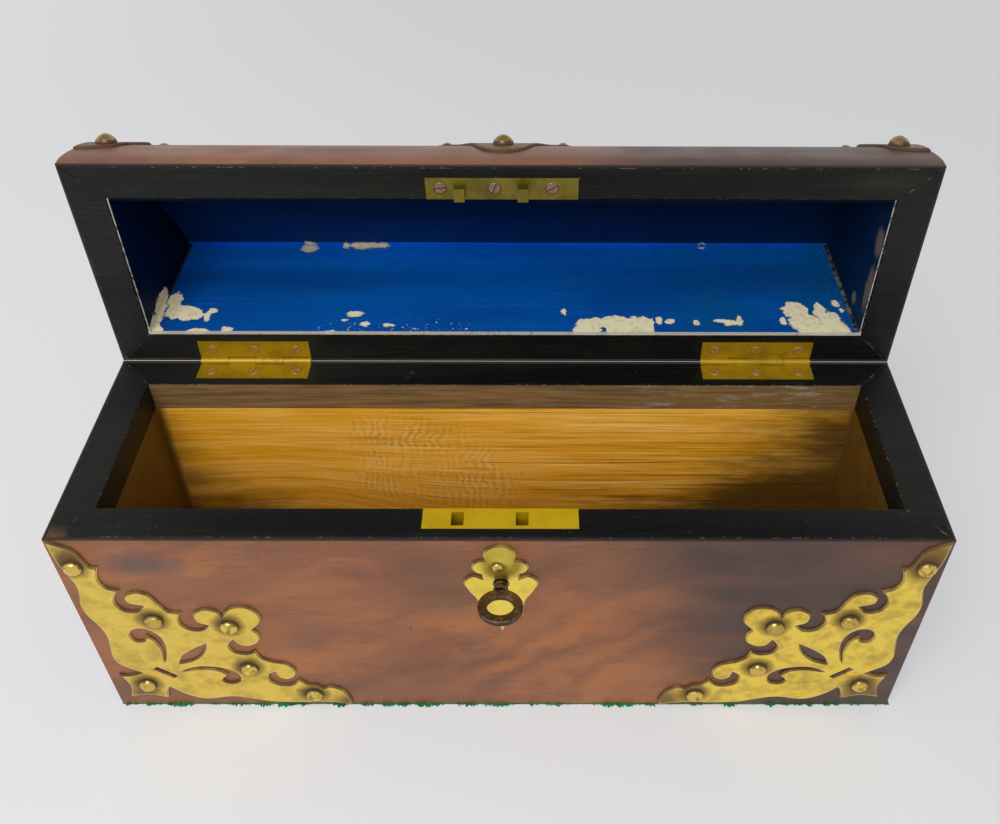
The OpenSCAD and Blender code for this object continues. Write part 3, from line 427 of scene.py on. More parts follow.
@dataclass(frozen=True)
class Walnut(Finish):
    """Old polished walnut veneer: calm and warm, with slanting streaks and a greyer right end."""

    dark: Colour = (0.050, 0.022, 0.016)
    middle: Colour = (0.262, 0.083, 0.024)
    light: Colour = (0.315, 0.104, 0.0275)
    ember: Colour = (0.35, 0.111, 0.024)
    dusky: Colour = (0.042, 0.018, 0.013)
    black: Colour = (0.010, 0.009, 0.008)
    bare: Colour = (0.45, 0.34, 0.26)
    stain: Colour = (0.055, 0.042, 0.044)
    streaks: Spot = Spot((20.0, -42.0, 28.0), (50.0, 30.0, 34.0))
    streak_slope: float = math.radians(36)
    streak_step: float = 17.0
    shade: Spot = Spot((-24.0, -42.0, 74.0), (18.0, 20.0, 13.0))
    smudge: Spot = Spot((-117.0, -42.0, 86.0), (12.0, 12.0, 5.0))
    pin_hole: Spot = Spot((-32.0, -42.0, 50.0), (0.5, 3.0, 0.5))
    rings: Place = (-68.0, -42.0, 93.0)
    pale_line: Spot = Spot((-34.0, -43.0, 86.3), (44.0, 3.0, 1.5))
    grey_from: float = 30.0
    grey_to: float = 88.0
    top_of_body: float = 100.0
    rim_top: float = 98.74
    rim_plane: float = 42.7

    def build(self) -> bpy.types.Material:
        """Builds the walnut: soft clouds, fine fibres, streaks, a grey right end, worn edges."""
        material, g, shader = self.start("Walnut veneer")
        whole = g.place_mm()
        facing = g.node("ShaderNodeNewGeometry").outputs["True Normal"]
        at_end = g.math("GREATER_THAN", g.math("ABSOLUTE", g.axes(facing)[0]), 0.7)
        place = self.along_grain(g, whole, at_end)
        grain = g.group(GRAIN, Place=place, Along=(0.018, 0.04, 0.042), Warp=1.1, Bands=2.0, Pore=1.0)
        cloud = g.noise(g.vector("MULTIPLY", place, (0.016, 0.03, 0.034)), 1.0, 4, 0.55).outputs["Fac"]
        wood = g.mix(g.ramp(cloud, 0.36, 0.64), self.middle, self.light)
        wood = g.mix(g.ramp(grain.outputs["Figure"], 0.75, 0.35, 0.0, 0.30), wood, self.dusky)
        fibre = g.noise(g.vector("MULTIPLY", place, (0.07, 1.8, 1.8)), 1.0, 3, 0.6).outputs["Fac"]
        wood = g.mix(g.ramp(fibre, 0.58, 0.34, 0.0, 0.17), wood, self.dark)
        slant = g.node("ShaderNodeVectorRotate", {"Vector": place, "Axis": (0, 1, 0), "Angle": 0.5})
        drift = g.vector("MULTIPLY", slant.outputs[0], (0.014, 0.03, 0.05))
        veil = g.noise(drift, 1.0, 3, 0.5).outputs["Fac"]
        wood = g.mix(g.ramp(veil, 0.50, 0.68, 0.0, 0.34), wood, self.dusky)
        wood = g.mix(g.ramp(veil, 0.46, 0.32, 0.0, 0.40), wood, self.ember)
        wood = self.streaked(g, whole, wood)
        wood = g.mix(self.greyness(g, whole, place), wood, self.dusky)
        torn = g.group(RAGGED, Place=whole, Reach=7.0, Scale=0.06).outputs["Moved"]
        wood = g.mix(g.math("MULTIPLY", self.shade.mask(g, torn, 0.7), 0.45), wood, self.dusky)
        wood = g.mix(g.math("MULTIPLY", self.smudge.mask(g, torn, 0.6), 0.72), wood, self.stain)
        wood = g.mix(self.ringed(g, whole), wood, self.dark)
        wood = g.mix(g.math("MULTIPLY", grain.outputs["Pores"], 0.15), wood, self.dark)
        wood = g.mix(self.pin_hole.mask(g, whole, 0.3), wood, self.dark)
        wood = g.mix(self.worn(g, whole), wood, self.bare)
        polish = g.ramp(g.noise(place, 0.05, 5, 0.6).outputs["Fac"], 0.3, 0.7, 0.33, 0.45)
        rough = g.math("ADD", polish, g.math("MULTIPLY", grain.outputs["Pores"], 0.08))
        blacked = self.blacked(g, whole)
        rough = g.blend(blacked, rough, 0.8)
        height = g.math("SUBTRACT", g.math("MULTIPLY", fibre, 0.5), grain.outputs["Pores"])
        normal = g.bump(height, 0.3, 0.00005)
        wood = g.mix(blacked, wood, self.black)
        self.join(g, shader, Base_Color=wood, Roughness=rough, Normal=normal)
        return material

    def along_grain(self, g: Graph, place: bpy.types.NodeSocket, at_end) -> bpy.types.NodeSocket:
        """Turns the place on the ends, so that the grain runs across the box there.

        Args:
            g: The material's graph.
            place: The place in millimetres.
            at_end: 1 on the ends of the box and 0 elsewhere.

        Returns:
            The place that the figure follows.
        """
        across, back, up = g.axes(place)
        turned = g.node("ShaderNodeCombineXYZ", {0: back, 1: across, 2: up}).outputs[0]
        step = g.vector("SCALE", g.vector("SUBTRACT", turned, place), at_end)
        return g.vector("ADD", place, step)

    def streaked(self, g: Graph, place: bpy.types.NodeSocket, wood) -> bpy.types.NodeSocket:
        """Adds the streaks that rise to the right across the middle of the front.

        Args:
            g: The material's graph.
            place: The place in millimetres.
            wood: The colour so far.

        Returns:
            The colour with the streaks.
        """
        moved = g.group(RAGGED, Place=place, Reach=24.0, Scale=0.03).outputs["Moved"]
        across, _, up = g.axes(moved)
        rise = g.math("MULTIPLY", up, math.cos(self.streak_slope))
        fall = g.math("MULTIPLY", across, math.sin(self.streak_slope))
        phase = g.math("MULTIPLY", g.math("SUBTRACT", rise, fall), math.tau / self.streak_step)
        bands = g.math("SINE", phase)
        where = self.streaks.mask(g, moved, 0.6)
        wood = g.mix(g.math("MULTIPLY", where, g.ramp(bands, -0.1, -1.0, 0.0, 0.26)), wood, self.dusky)
        return g.mix(g.math("MULTIPLY", where, g.ramp(bands, 0.0, 1.0, 0.15, 0.45)), wood, self.ember)

    def greyness(self, g: Graph, place: bpy.types.NodeSocket, along) -> bpy.types.NodeSocket:
        """Returns how far the wood has gone grey, rising to the right end.

        Args:
            g: The material's graph.
            place: The place in millimetres.
            along: The place that follows the grain.

        Returns:
            0 where the wood is warm and 1 where it is grey.
        """
        moved = g.group(RAGGED, Place=place, Reach=16.0, Scale=0.02).outputs["Moved"]
        across, _, up = g.axes(moved)
        lean = g.math("MULTIPLY", g.math("SUBTRACT", g.math("MINIMUM", up, self.top_of_body), 50.0), 0.45)
        spread = g.math("ADD", across, lean)
        band = g.noise(g.vector("MULTIPLY", along, (0.012, 0.1, 0.1)), 1.0, 3, 0.5).outputs["Fac"]
        share = g.ramp(band, 0.7, 0.4, 0.74, 0.98)
        found = g.math("MULTIPLY", g.ramp(spread, self.grey_from, self.grey_to), share)
        return g.math("MAXIMUM", found, g.ramp(g.axes(place)[2], 172.0, 184.0, 0.0, 0.24))

    def ringed(self, g: Graph, place: bpy.types.NodeSocket) -> bpy.types.NodeSocket:
        """Returns the faint rings of a small knot near the top of the front."""
        away = g.vector("MULTIPLY", g.vector("SUBTRACT", place, self.rings), (1.0, 0.0, 1.45))
        reach = g.length(away)
        near = g.math("POWER", g.math("DIVIDE", reach, 9.0), 2.0)
        fade = g.math("EXPONENT", g.math("MULTIPLY", near, -1.0))
        waves = g.math("SINE", g.math("MULTIPLY", reach, 2.0))
        return g.math("MULTIPLY", g.ramp(waves, 0.0, 1.0, 0.0, 0.14), fade)

    def blacked(self, g: Graph, place: bpy.types.NodeSocket) -> bpy.types.NodeSocket:
        """Returns where the veneers' edges meet the rims and were blacked with them."""
        _, back, up = g.axes(place)
        on_body = g.math("LESS_THAN", g.math("ABSOLUTE", g.math("SUBTRACT", up, 98.4)), 0.34)
        on_lid = g.math("GREATER_THAN", up, self.rim_top)
        on_lid = g.math("MULTIPLY", on_lid, g.math("LESS_THAN", back, self.rim_plane + 0.4))
        return g.math("MULTIPLY", g.math("MAXIMUM", on_body, on_lid), 0.93)

    def worn(self, g: Graph, place: bpy.types.NodeSocket) -> bpy.types.NodeSocket:
        """Returns where the edges are rubbed pale."""
        edge = g.attribute("edge")
        rubbed = g.group(WEAR, Place=place, Edge=edge, Cover=0.28, Scale=0.35).outputs["Mask"]
        line = g.math("MULTIPLY", self.pale_line.mask(g, place, 0.2), edge)
        return g.math("MULTIPLY", any_of(g, (rubbed, line)), 0.7)


@dataclass(frozen=True)
class Ebony(Finish):
    """Black rim strips with pale nicks, and bare brown wood on the inner face at the back."""

    black: Colour = (0.0030, 0.0038, 0.0036)
    grey: Colour = (0.0105, 0.0120, 0.0100)
    brown: Colour = (0.050, 0.030, 0.018)
    nick: Colour = (0.22, 0.19, 0.13)
    bare: Colour = (0.25, 0.145, 0.052)
    bark: Colour = (0.12, 0.067, 0.024)
    smudge: Colour = (0.38, 0.31, 0.23)
    rubbed: Colour = (0.13, 0.07, 0.035)
    corner: Spot = Spot((-143.0, -42.0, 98.6), (4.5, 4.0, 3.0))
    dust: Spot = Spot((126.0, 42.7, 177.5), (11.0, 3.0, 3.0))
    inner_x: float = 132.05
    inner_y: float = 29.56

    def build(self) -> bpy.types.Material:
        """Builds the ebony: slow greys, nicks, worn arrises and the bare inner face."""
        material, g, shader = self.start("Black rims")
        place = g.place_mm()
        grain = g.group(GRAIN, Place=place, Along=(0.012, 0.06, 0.06), Warp=0.7, Bands=3.0, Pore=1.4)
        wood = g.mix(g.ramp(grain.outputs["Cloud"], 0.40, 0.66), self.black, self.grey)
        wood = g.mix(g.math("MULTIPLY", grain.outputs["Pores"], 0.30), wood, self.brown)
        marks = g.group(TARNISH, Place=place, Amount=0.25, Scale=0.16)
        wood = g.mix(g.math("MULTIPLY", marks.outputs["Blotch"], 0.35), wood, self.brown)
        wood = g.mix(g.math("MULTIPLY", marks.outputs["Speckle"], 0.35), wood, self.nick)
        wood = g.mix(g.math("MULTIPLY", marks.outputs["Scratch"], 0.05), wood, self.nick)
        wood = g.mix(g.math("MULTIPLY", grain.outputs["Flecks"], 0.16), wood, self.nick)
        worn = g.group(WEAR, Place=place, Edge=g.attribute("edge"), Cover=0.40, Scale=0.5).outputs["Mask"]
        wood = g.mix(g.math("MULTIPLY", worn, 0.35), wood, self.nick)
        torn = g.group(RAGGED, Place=place, Reach=3.0, Scale=0.2).outputs["Moved"]
        wood = g.mix(g.math("MULTIPLY", self.corner.mask(g, torn, 0.5), 0.7), wood, self.rubbed)
        strewn = g.ramp(marks.outputs["Speckle"], 0.0, 1.0, 0.05, 0.4)
        dusty = g.math("MULTIPLY", self.dust.mask(g, torn, 0.8), strewn)
        wood = g.mix(dusty, wood, self.nick)
        inside = self.inside(g, place)
        raw_grain = g.noise(g.vector("MULTIPLY", place, (0.04, 0.8, 0.8)), 1.0, 5, 0.65).outputs["Fac"]
        raw = g.mix(g.ramp(raw_grain, 0.3, 0.7), self.bark, self.bare)
        across = g.axes(place)[0]
        wiped = g.noise(g.vector("MULTIPLY", place, (0.05, 0.3, 0.3)), 1.0, 5, 0.7).outputs["Fac"]
        pale = g.math("MULTIPLY", g.ramp(wiped, 0.52, 0.70), g.ramp(across, 20.0, 90.0, 0.12, 0.9))
        raw = g.mix(pale, raw, self.smudge)
        wood = g.mix(inside, wood, raw)
        rough = g.blend(inside, g.ramp(grain.outputs["Cloud"], 0.3, 0.7, 0.36, 0.52), 0.75)
        height = g.math("ADD", g.math("MULTIPLY", raw_grain, 0.6), grain.outputs["Pores"])
        normal = g.bump(height, 0.3, 0.00008)
        self.join(g, shader, Base_Color=wood, Roughness=rough, Normal=normal, Specular_IOR_Level=0.16)
        return material

    def inside(self, g: Graph, place: bpy.types.NodeSocket) -> bpy.types.NodeSocket:
        """Masks the inner face of the back strip, which was never blacked.

        Args:
            g: The material's graph.
            place: The place in millimetres.

        Returns:
            1 on that face and 0 elsewhere.
        """
        across, back, _ = g.axes(place)
        within = g.math("LESS_THAN", g.math("ABSOLUTE", across), self.inner_x)
        at_face = g.math("LESS_THAN", g.math("ABSOLUTE", g.math("SUBTRACT", back, 29.5)), 0.06)
        return g.math("MULTIPLY", within, at_face)


@dataclass(frozen=True)
class Brass(Finish):
    """Aged brass sheet with painted shadow and soil round its studs, and painted shade on its upturned
    edges.
    """

    bright: Colour = (0.93, 0.66, 0.085)
    dull: Colour = (0.50, 0.34, 0.060)
    brown: Colour = (0.080, 0.038, 0.014)
    green: Colour = (0.16, 0.115, 0.030)
    copper: Colour = (0.17, 0.082, 0.034)
    # colour of the painted highlight along the chamfers
    line: Colour = (0.96, 0.84, 0.45)
    # dark of the painted shadow and soil round the studs
    shadow_and_soot: Colour = (0.060, 0.034, 0.014)
    age: float = 0.5
    rough: float = 0.36
    metallic: float = 1.0
    stud_shadows: tuple[Spot, ...] = ()
    coppery: tuple[Spot, ...] = ()
    name: str = "Brass"

    def build(self) -> bpy.types.Material:
        """Builds the brass: mottling, speckles, painted shadow round the studs, coppery tips, a chamfer
        painted dark and a painted highlight line.
        """
        material, g, shader = self.start(self.name)
        place = g.place_mm()
        marks = g.group(TARNISH, Place=place, Amount=self.age, Scale=0.17)
        mottle = g.noise(place, 0.13, 6, 0.62).outputs["Fac"]
        metal = g.mix(g.ramp(mottle, 0.42, 0.72, 0.0, 0.75), self.bright, self.dull)
        metal = g.mix(g.math("MULTIPLY", marks.outputs["Blotch"], 0.35), metal, self.dull)
        stained = g.math("MULTIPLY", marks.outputs["Speckle"], marks.outputs["Blotch"])
        pitted = g.math("MULTIPLY", marks.outputs["Speckle"], 0.24)
        stained = g.math("MAXIMUM", g.math("MULTIPLY", stained, 0.7), pitted)
        metal = g.mix(stained, metal, self.green)
        # tarnish soil; the painted shadow round the studs joins it below
        soil_and_shade = g.math("MULTIPLY", marks.outputs["Blotch"], 0.16)
        moved = g.group(RAGGED, Place=place, Reach=1.2, Scale=0.3).outputs["Moved"]
        # painted shadow and soil round each stud, reaching further above and to the left
        if self.stud_shadows:
            shade_at_stud = any_of(g, [s.mask(g, moved, 0.42) for s in self.stud_shadows])
            metal = g.mix(g.math("MULTIPLY", shade_at_stud, 0.93), metal, self.shadow_and_soot)
            soil_and_shade = g.math("MAXIMUM", soil_and_shade, g.math("MULTIPLY", shade_at_stud, 0.5))
        if self.coppery:
            red = any_of(g, [s.mask(g, moved, 0.5) for s in self.coppery])
            metal = g.mix(g.math("MULTIPLY", red, 0.85), metal, self.copper)
        chamfer = g.attribute("chamfer")
        metal = g.mix(g.math("MULTIPLY", soil_and_shade, 0.9), metal, self.brown)
        # painted dark reflection on the chamfers, as set on each face when the mount is cut
        shaded = g.math("MULTIPLY", chamfer, g.ramp(mottle, 0.25, 0.6, 0.8, 1.0))
        metal = g.mix(shaded, metal, self.brown)
        edge = g.attribute("edge")
        # painted highlight along the chamfers' edges
        metal = g.mix(g.math("MULTIPLY", edge, 0.9), metal, self.line)
        soil_and_painted_shade = g.math("MAXIMUM", soil_and_shade, shaded)
        rough = g.math("ADD", self.rough, g.math("MULTIPLY", soil_and_painted_shade, 0.3))
        rough = g.math("ADD", rough, g.math("MULTIPLY", marks.outputs["Speckle"], 0.15))
        pits = g.math("ADD", marks.outputs["Speckle"], g.math("MULTIPLY", marks.outputs["Scratch"], 0.3))
        uneven = g.noise(place, 0.25, 3).outputs["Fac"]
        height = g.math("SUBTRACT", g.math("MULTIPLY", uneven, 1.6), pits)
        normal = g.bump(height, 0.3, 0.00005)
        metallic = g.math("MULTIPLY", self.metallic, g.ramp(soil_and_painted_shade, 0.0, 1.0, 1.0, 0.25))
        self.join(g, shader, Base_Color=metal, Roughness=rough, Metallic=metallic, Normal=normal)
        return material


@dataclass(frozen=True)
class StudBrass(Finish):
    """Rubbed brass of the domed studs, with painted shade and soil round their feet and painted dark
    reflections.
    """

    bright: Colour = (0.88, 0.62, 0.14)
    dull: Colour = (0.24, 0.15, 0.035)
    # dark of the painted shade and soil at the foot of the studs
    shade_and_darkening: Colour = (0.040, 0.022, 0.010)
    foot: float = 0.62
    name: str = "Stud brass"

    def build(self) -> bpy.types.Material:
        """Builds the stud brass from the height and the tone kept on each stud."""
        material, g, shader = self.start(self.name)
        place = g.place_mm()
        rise, tone = g.attribute("rise"), g.attribute("tone")
        marks = g.group(TARNISH, Place=place, Amount=0.4, Scale=0.45)
        # painted dark reflections: slow dark patches on the domes
        cloud = g.ramp(g.noise(place, 0.45, 3, 0.6).outputs["Fac"], 0.48, 0.66, 0.0, 0.8)
        dull = any_of(g, (g.math("MULTIPLY", marks.outputs["Blotch"], 0.7), tone, cloud))
        metal = g.mix(dull, self.bright, self.dull)
        wander = g.math("MULTIPLY", g.noise(place, 0.7, 3).outputs["Fac"], 0.7)
        # painted shade and soil round the foot of each dome
        shade_at_stud = g.ramp(g.math("ADD", rise, wander), self.foot + 0.22, self.foot - 0.04)
        metal = g.mix(g.math("MULTIPLY", shade_at_stud, 0.9), metal, self.shade_and_darkening)
        rough = g.math("ADD", 0.13, g.math("MULTIPLY", g.math("MAXIMUM", shade_at_stud, dull), 0.35))
        metallic = g.math("SUBTRACT", 1.0, g.math("MULTIPLY", shade_at_stud, 0.7))
        normal = g.bump(g.noise(place, 1.1, 4, 0.6).outputs["Fac"], 0.3, 0.00012)
        self.join(g, shader, Base_Color=metal, Roughness=rough, Metallic=metallic, Normal=normal)
        return material


@dataclass(frozen=True)
class ScrewBrass(Finish):
    """Slotted screws gone coppery, or still yellow, with painted shade and soil in the slot and round the
    head.
    """

    metal: Colour = (0.36, 0.24, 0.17)
    # dark of the painted shade and soil in the slot and round the head
    shade_and_darkening: Colour = (0.060, 0.036, 0.024)
    metallic: float = 1.0
    name: str = "Coppery screws"

    def build(self) -> bpy.types.Material:
        """Builds the screw metal: dark at the rim and in the slot, mottled on the head."""
        material, g, shader = self.start(self.name)
        place = g.place_mm()
        hidden = g.attribute("hidden")
        blotch = g.noise(place, 1.2, 4, 0.6).outputs["Fac"]
        metal = g.mix(g.ramp(blotch, 0.35, 0.7, 0.0, 0.55), self.metal, self.shade_and_darkening)
        # painted shade and soil in the slot and on the sunk rim
        metal = g.mix(g.math("MULTIPLY", hidden, 0.9), metal, self.shade_and_darkening)
        rough = g.math("ADD", 0.38, g.math("MULTIPLY", hidden, 0.4))
        metallic = g.math("MULTIPLY", self.metallic, g.ramp(hidden, 0.0, 1.0, 1.0, 0.4))
        normal = g.bump(blotch, 0.3, 0.00005)
        self.join(g, shader, Base_Color=metal, Roughness=rough, Metallic=metallic, Normal=normal)
        return material


@dataclass(frozen=True)
class KeyIron(Finish):
    """Dark brown iron of the key, with rust on its steps."""

    brown: Colour = (0.055, 0.034, 0.022)
    steel: Colour = (0.24, 0.17, 0.10)
    rust: Colour = (0.26, 0.10, 0.028)

    def build(self) -> bpy.types.Material:
        """Builds the iron: rust in blotches, bright rubbed arrises."""
        material, g, shader = self.start("Key iron")
        place = g.place_mm()
        marks = g.group(TARNISH, Place=place, Amount=0.55, Scale=0.5)
        metal = g.mix(g.math("MULTIPLY", marks.outputs["Blotch"], 0.7), self.brown, self.rust)
        worn = g.group(WEAR, Place=place, Edge=g.attribute("edge"), Cover=0.55, Scale=0.8).outputs["Mask"]
        metal = g.mix(g.math("MULTIPLY", worn, 0.6), metal, self.steel)
        metallic = g.math("SUBTRACT", 0.85, g.math("MULTIPLY", marks.outputs["Blotch"], 0.6))
        rough = g.math("ADD", 0.42, g.math("MULTIPLY", marks.outputs["Blotch"], 0.3))
        pitted = g.noise(place, 1.6, 4, 0.65).outputs["Fac"]
        normal = g.bump(pitted, 0.5, 0.0002)
        self.join(g, shader, Base_Color=metal, Roughness=rough, Metallic=metallic, Normal=normal)
        return material


@dataclass(frozen=True)
class Birch(Finish):
    """Golden bare wood of the boards, curly to the left of the back board's middle."""

    gold: Colour = (0.90, 0.46, 0.055)
    honey: Colour = (0.78, 0.35, 0.008)
    dark: Colour = (0.26, 0.105, 0.012)
    pale: Colour = (0.97, 0.70, 0.22)
    # dark tint of the painted shade and of the darkening towards the foot and lower right
    shade_tint: Colour = (0.035, 0.016, 0.006)
    curls: tuple[Spot, ...] = (
        Spot((-40.0, 30.0, 70.0), (19.0, 20.0, 9.0)),
        Spot((-46.0, 30.0, 48.0), (11.0, 20.0, 14.0)),
        Spot((-12.0, 30.0, 46.0), (14.0, 20.0, 15.0)),
    )
    figure_centre: Place = (-92.0, 30.0, 26.0)
    figure_size: Place = (46.0, 60.0, 26.0)
    corner_x: float = 132.0

    def build(self) -> bpy.types.Material:
        """Builds the birch: straight grain, curl ripples, an arched figure, painted shade in the corners and
        on the ends.
        """
        material, g, shader = self.start("Golden birch")
        place = g.place_mm()
        near = g.vector("DIVIDE", g.vector("SUBTRACT", place, self.figure_centre), self.figure_size)
        fade = g.math("EXPONENT", g.math("MULTIPLY", g.math("POWER", g.length(near), 2.0), -1.0))
        across = g.axes(place)[0]
        lifted = g.node("ShaderNodeCombineXYZ", {2: g.math("MULTIPLY", fade, -24.0)}).outputs[0]
        arched = g.vector("ADD", place, lifted)
        grain = g.group(GRAIN, Place=arched, Along=(0.006, 0.05, 0.085), Warp=0.40, Bands=4.0, Pore=0.9)
        figure = grain.outputs["Figure"]
        wood = g.mix(g.ramp(figure, 0.2, 0.80), self.honey, self.gold)
        wood = self.curly(g, place, wood)
        lines = g.noise(g.vector("MULTIPLY", arched, (0.012, 0.6, 0.8)), 1.0, 4, 0.6).outputs["Fac"]
        right = g.ramp(across, -60.0, 50.0, 0.30, 0.80)
        wood = g.mix(g.math("MULTIPLY", g.ramp(lines, 0.54, 0.68), right), wood, self.dark)
        fine = g.noise(g.vector("MULTIPLY", arched, (0.05, 2.2, 2.6)), 1.0, 3, 0.6).outputs["Fac"]
        wood = g.mix(g.ramp(fine, 0.52, 0.70, 0.0, 0.42), wood, self.dark)
        wood = g.mix(g.ramp(fine, 0.48, 0.32, 0.0, 0.40), wood, self.pale)
        fleck = g.ramp(lines, 0.46, 0.30)
        middle = g.ramp(g.math("ABSOLUTE", g.math("SUBTRACT", across, 8.0)), 100.0, 30.0, 0.12, 0.8)
        wood = g.mix(g.math("MULTIPLY", fleck, middle), wood, self.pale)
        wood = g.mix(g.math("MULTIPLY", grain.outputs["Pores"], 0.25), wood, self.dark)
        wood = g.mix(g.math("MULTIPLY", grain.outputs["Flecks"], 0.35), wood, self.dark)
        # painted shade in the corners and on the ends, with the darkening towards the foot and lower right
        wood = g.mix(self.shade_and_darkening(g, place, grain.outputs["Cloud"]), wood, self.shade_tint)
        rough = g.ramp(grain.outputs["Cloud"], 0.3, 0.7, 0.42, 0.58)
        normal = g.bump(g.math("SUBTRACT", figure, grain.outputs["Pores"]), 0.35, 0.00008)
        self.join(g, shader, Base_Color=wood, Roughness=rough, Normal=normal, Specular_IOR_Level=0.2)
        return material

    def curly(self, g: Graph, place: bpy.types.NodeSocket, wood) -> bpy.types.NodeSocket:
        """Adds the short upright ripples of the curly figure.

        Args:
            g: The material's graph.
            place: The place in millimetres.
            wood: The colour so far.

        Returns:
            The colour with the ripples.
        """
        across = g.axes(place)[0]
        drift = g.noise(g.vector("MULTIPLY", place, (0.05, 0.05, 0.09)), 1.0, 4, 0.6).outputs["Fac"]
        phase = g.math("ADD", across, g.math("MULTIPLY", drift, 14.0))
        ripple = g.math("SINE", g.math("MULTIPLY", phase, 2.1))
        moved = g.group(RAGGED, Place=place, Reach=8.0, Scale=0.06).outputs["Moved"]
        patchy = g.ramp(g.noise(place, 0.16, 3, 0.6).outputs["Fac"], 0.40, 0.56, 0.05, 1.0)
        where = g.math("MULTIPLY", any_of(g, [s.mask(g, moved, 0.7) for s in self.curls]), patchy)
        wood = g.mix(g.math("MULTIPLY", where, g.ramp(ripple, -0.2, 1.0, 0.10, 0.42)), wood, self.pale)
        return g.mix(g.math("MULTIPLY", where, g.ramp(ripple, -0.2, -0.9, 0.0, 0.38)), wood, self.dark)

    def shade_and_darkening(self, g: Graph, place: bpy.types.NodeSocket, cloud) -> bpy.types.NodeSocket:
        """Returns painted shade in the inner corners and on the end boards, and a darkening towards the foot
        and the lower right of the boards.
        """
        across, back, up = g.axes(place)
        reach = g.math("ABSOLUTE", across)
        # painted shade in the inner corners
        corner = g.ramp(reach, self.corner_x - 4.5, self.corner_x - 0.5, 0.0, 0.85)
        # painted shade on the inner faces of the end boards, darkest on the right
        ends = g.math("GREATER_THAN", reach, self.corner_x - 0.1)
        deep = g.blend(g.math("GREATER_THAN", across, 0.0), g.ramp(back, -10.0, 29.0, 0.42, 0.70), 0.84)
        deep = g.math("MULTIPLY", ends, deep)
        # darker towards the foot of the boards
        foot = g.ramp(up, 26.0, 10.0, 0.0, 0.5)
        # darker towards the lower right of the back board
        aside = g.math("POWER", g.math("DIVIDE", g.math("ADD", across, 26.0), 118.0), 2.0)
        below = g.math("POWER", g.math("DIVIDE", g.math("SUBTRACT", 86.0, up), 62.0), 2.0)
        spread = g.math("ADD", g.math("ADD", aside, below), g.math("MULTIPLY", cloud, 0.4))
        worn = g.noise(g.vector("MULTIPLY", place, (0.03, 0.12, 0.12)), 1.0, 4, 0.6).outputs["Fac"]
        spread = g.math("ADD", spread, g.ramp(worn, 0.3, 0.7, -0.25, 0.25))
        shade = g.ramp(spread, 0.90, 2.05, 0.0, 0.88)
        shade = g.math("MULTIPLY", shade, g.math("SUBTRACT", 1.0, ends))
        return any_of(g, (corner, deep, foot, shade))


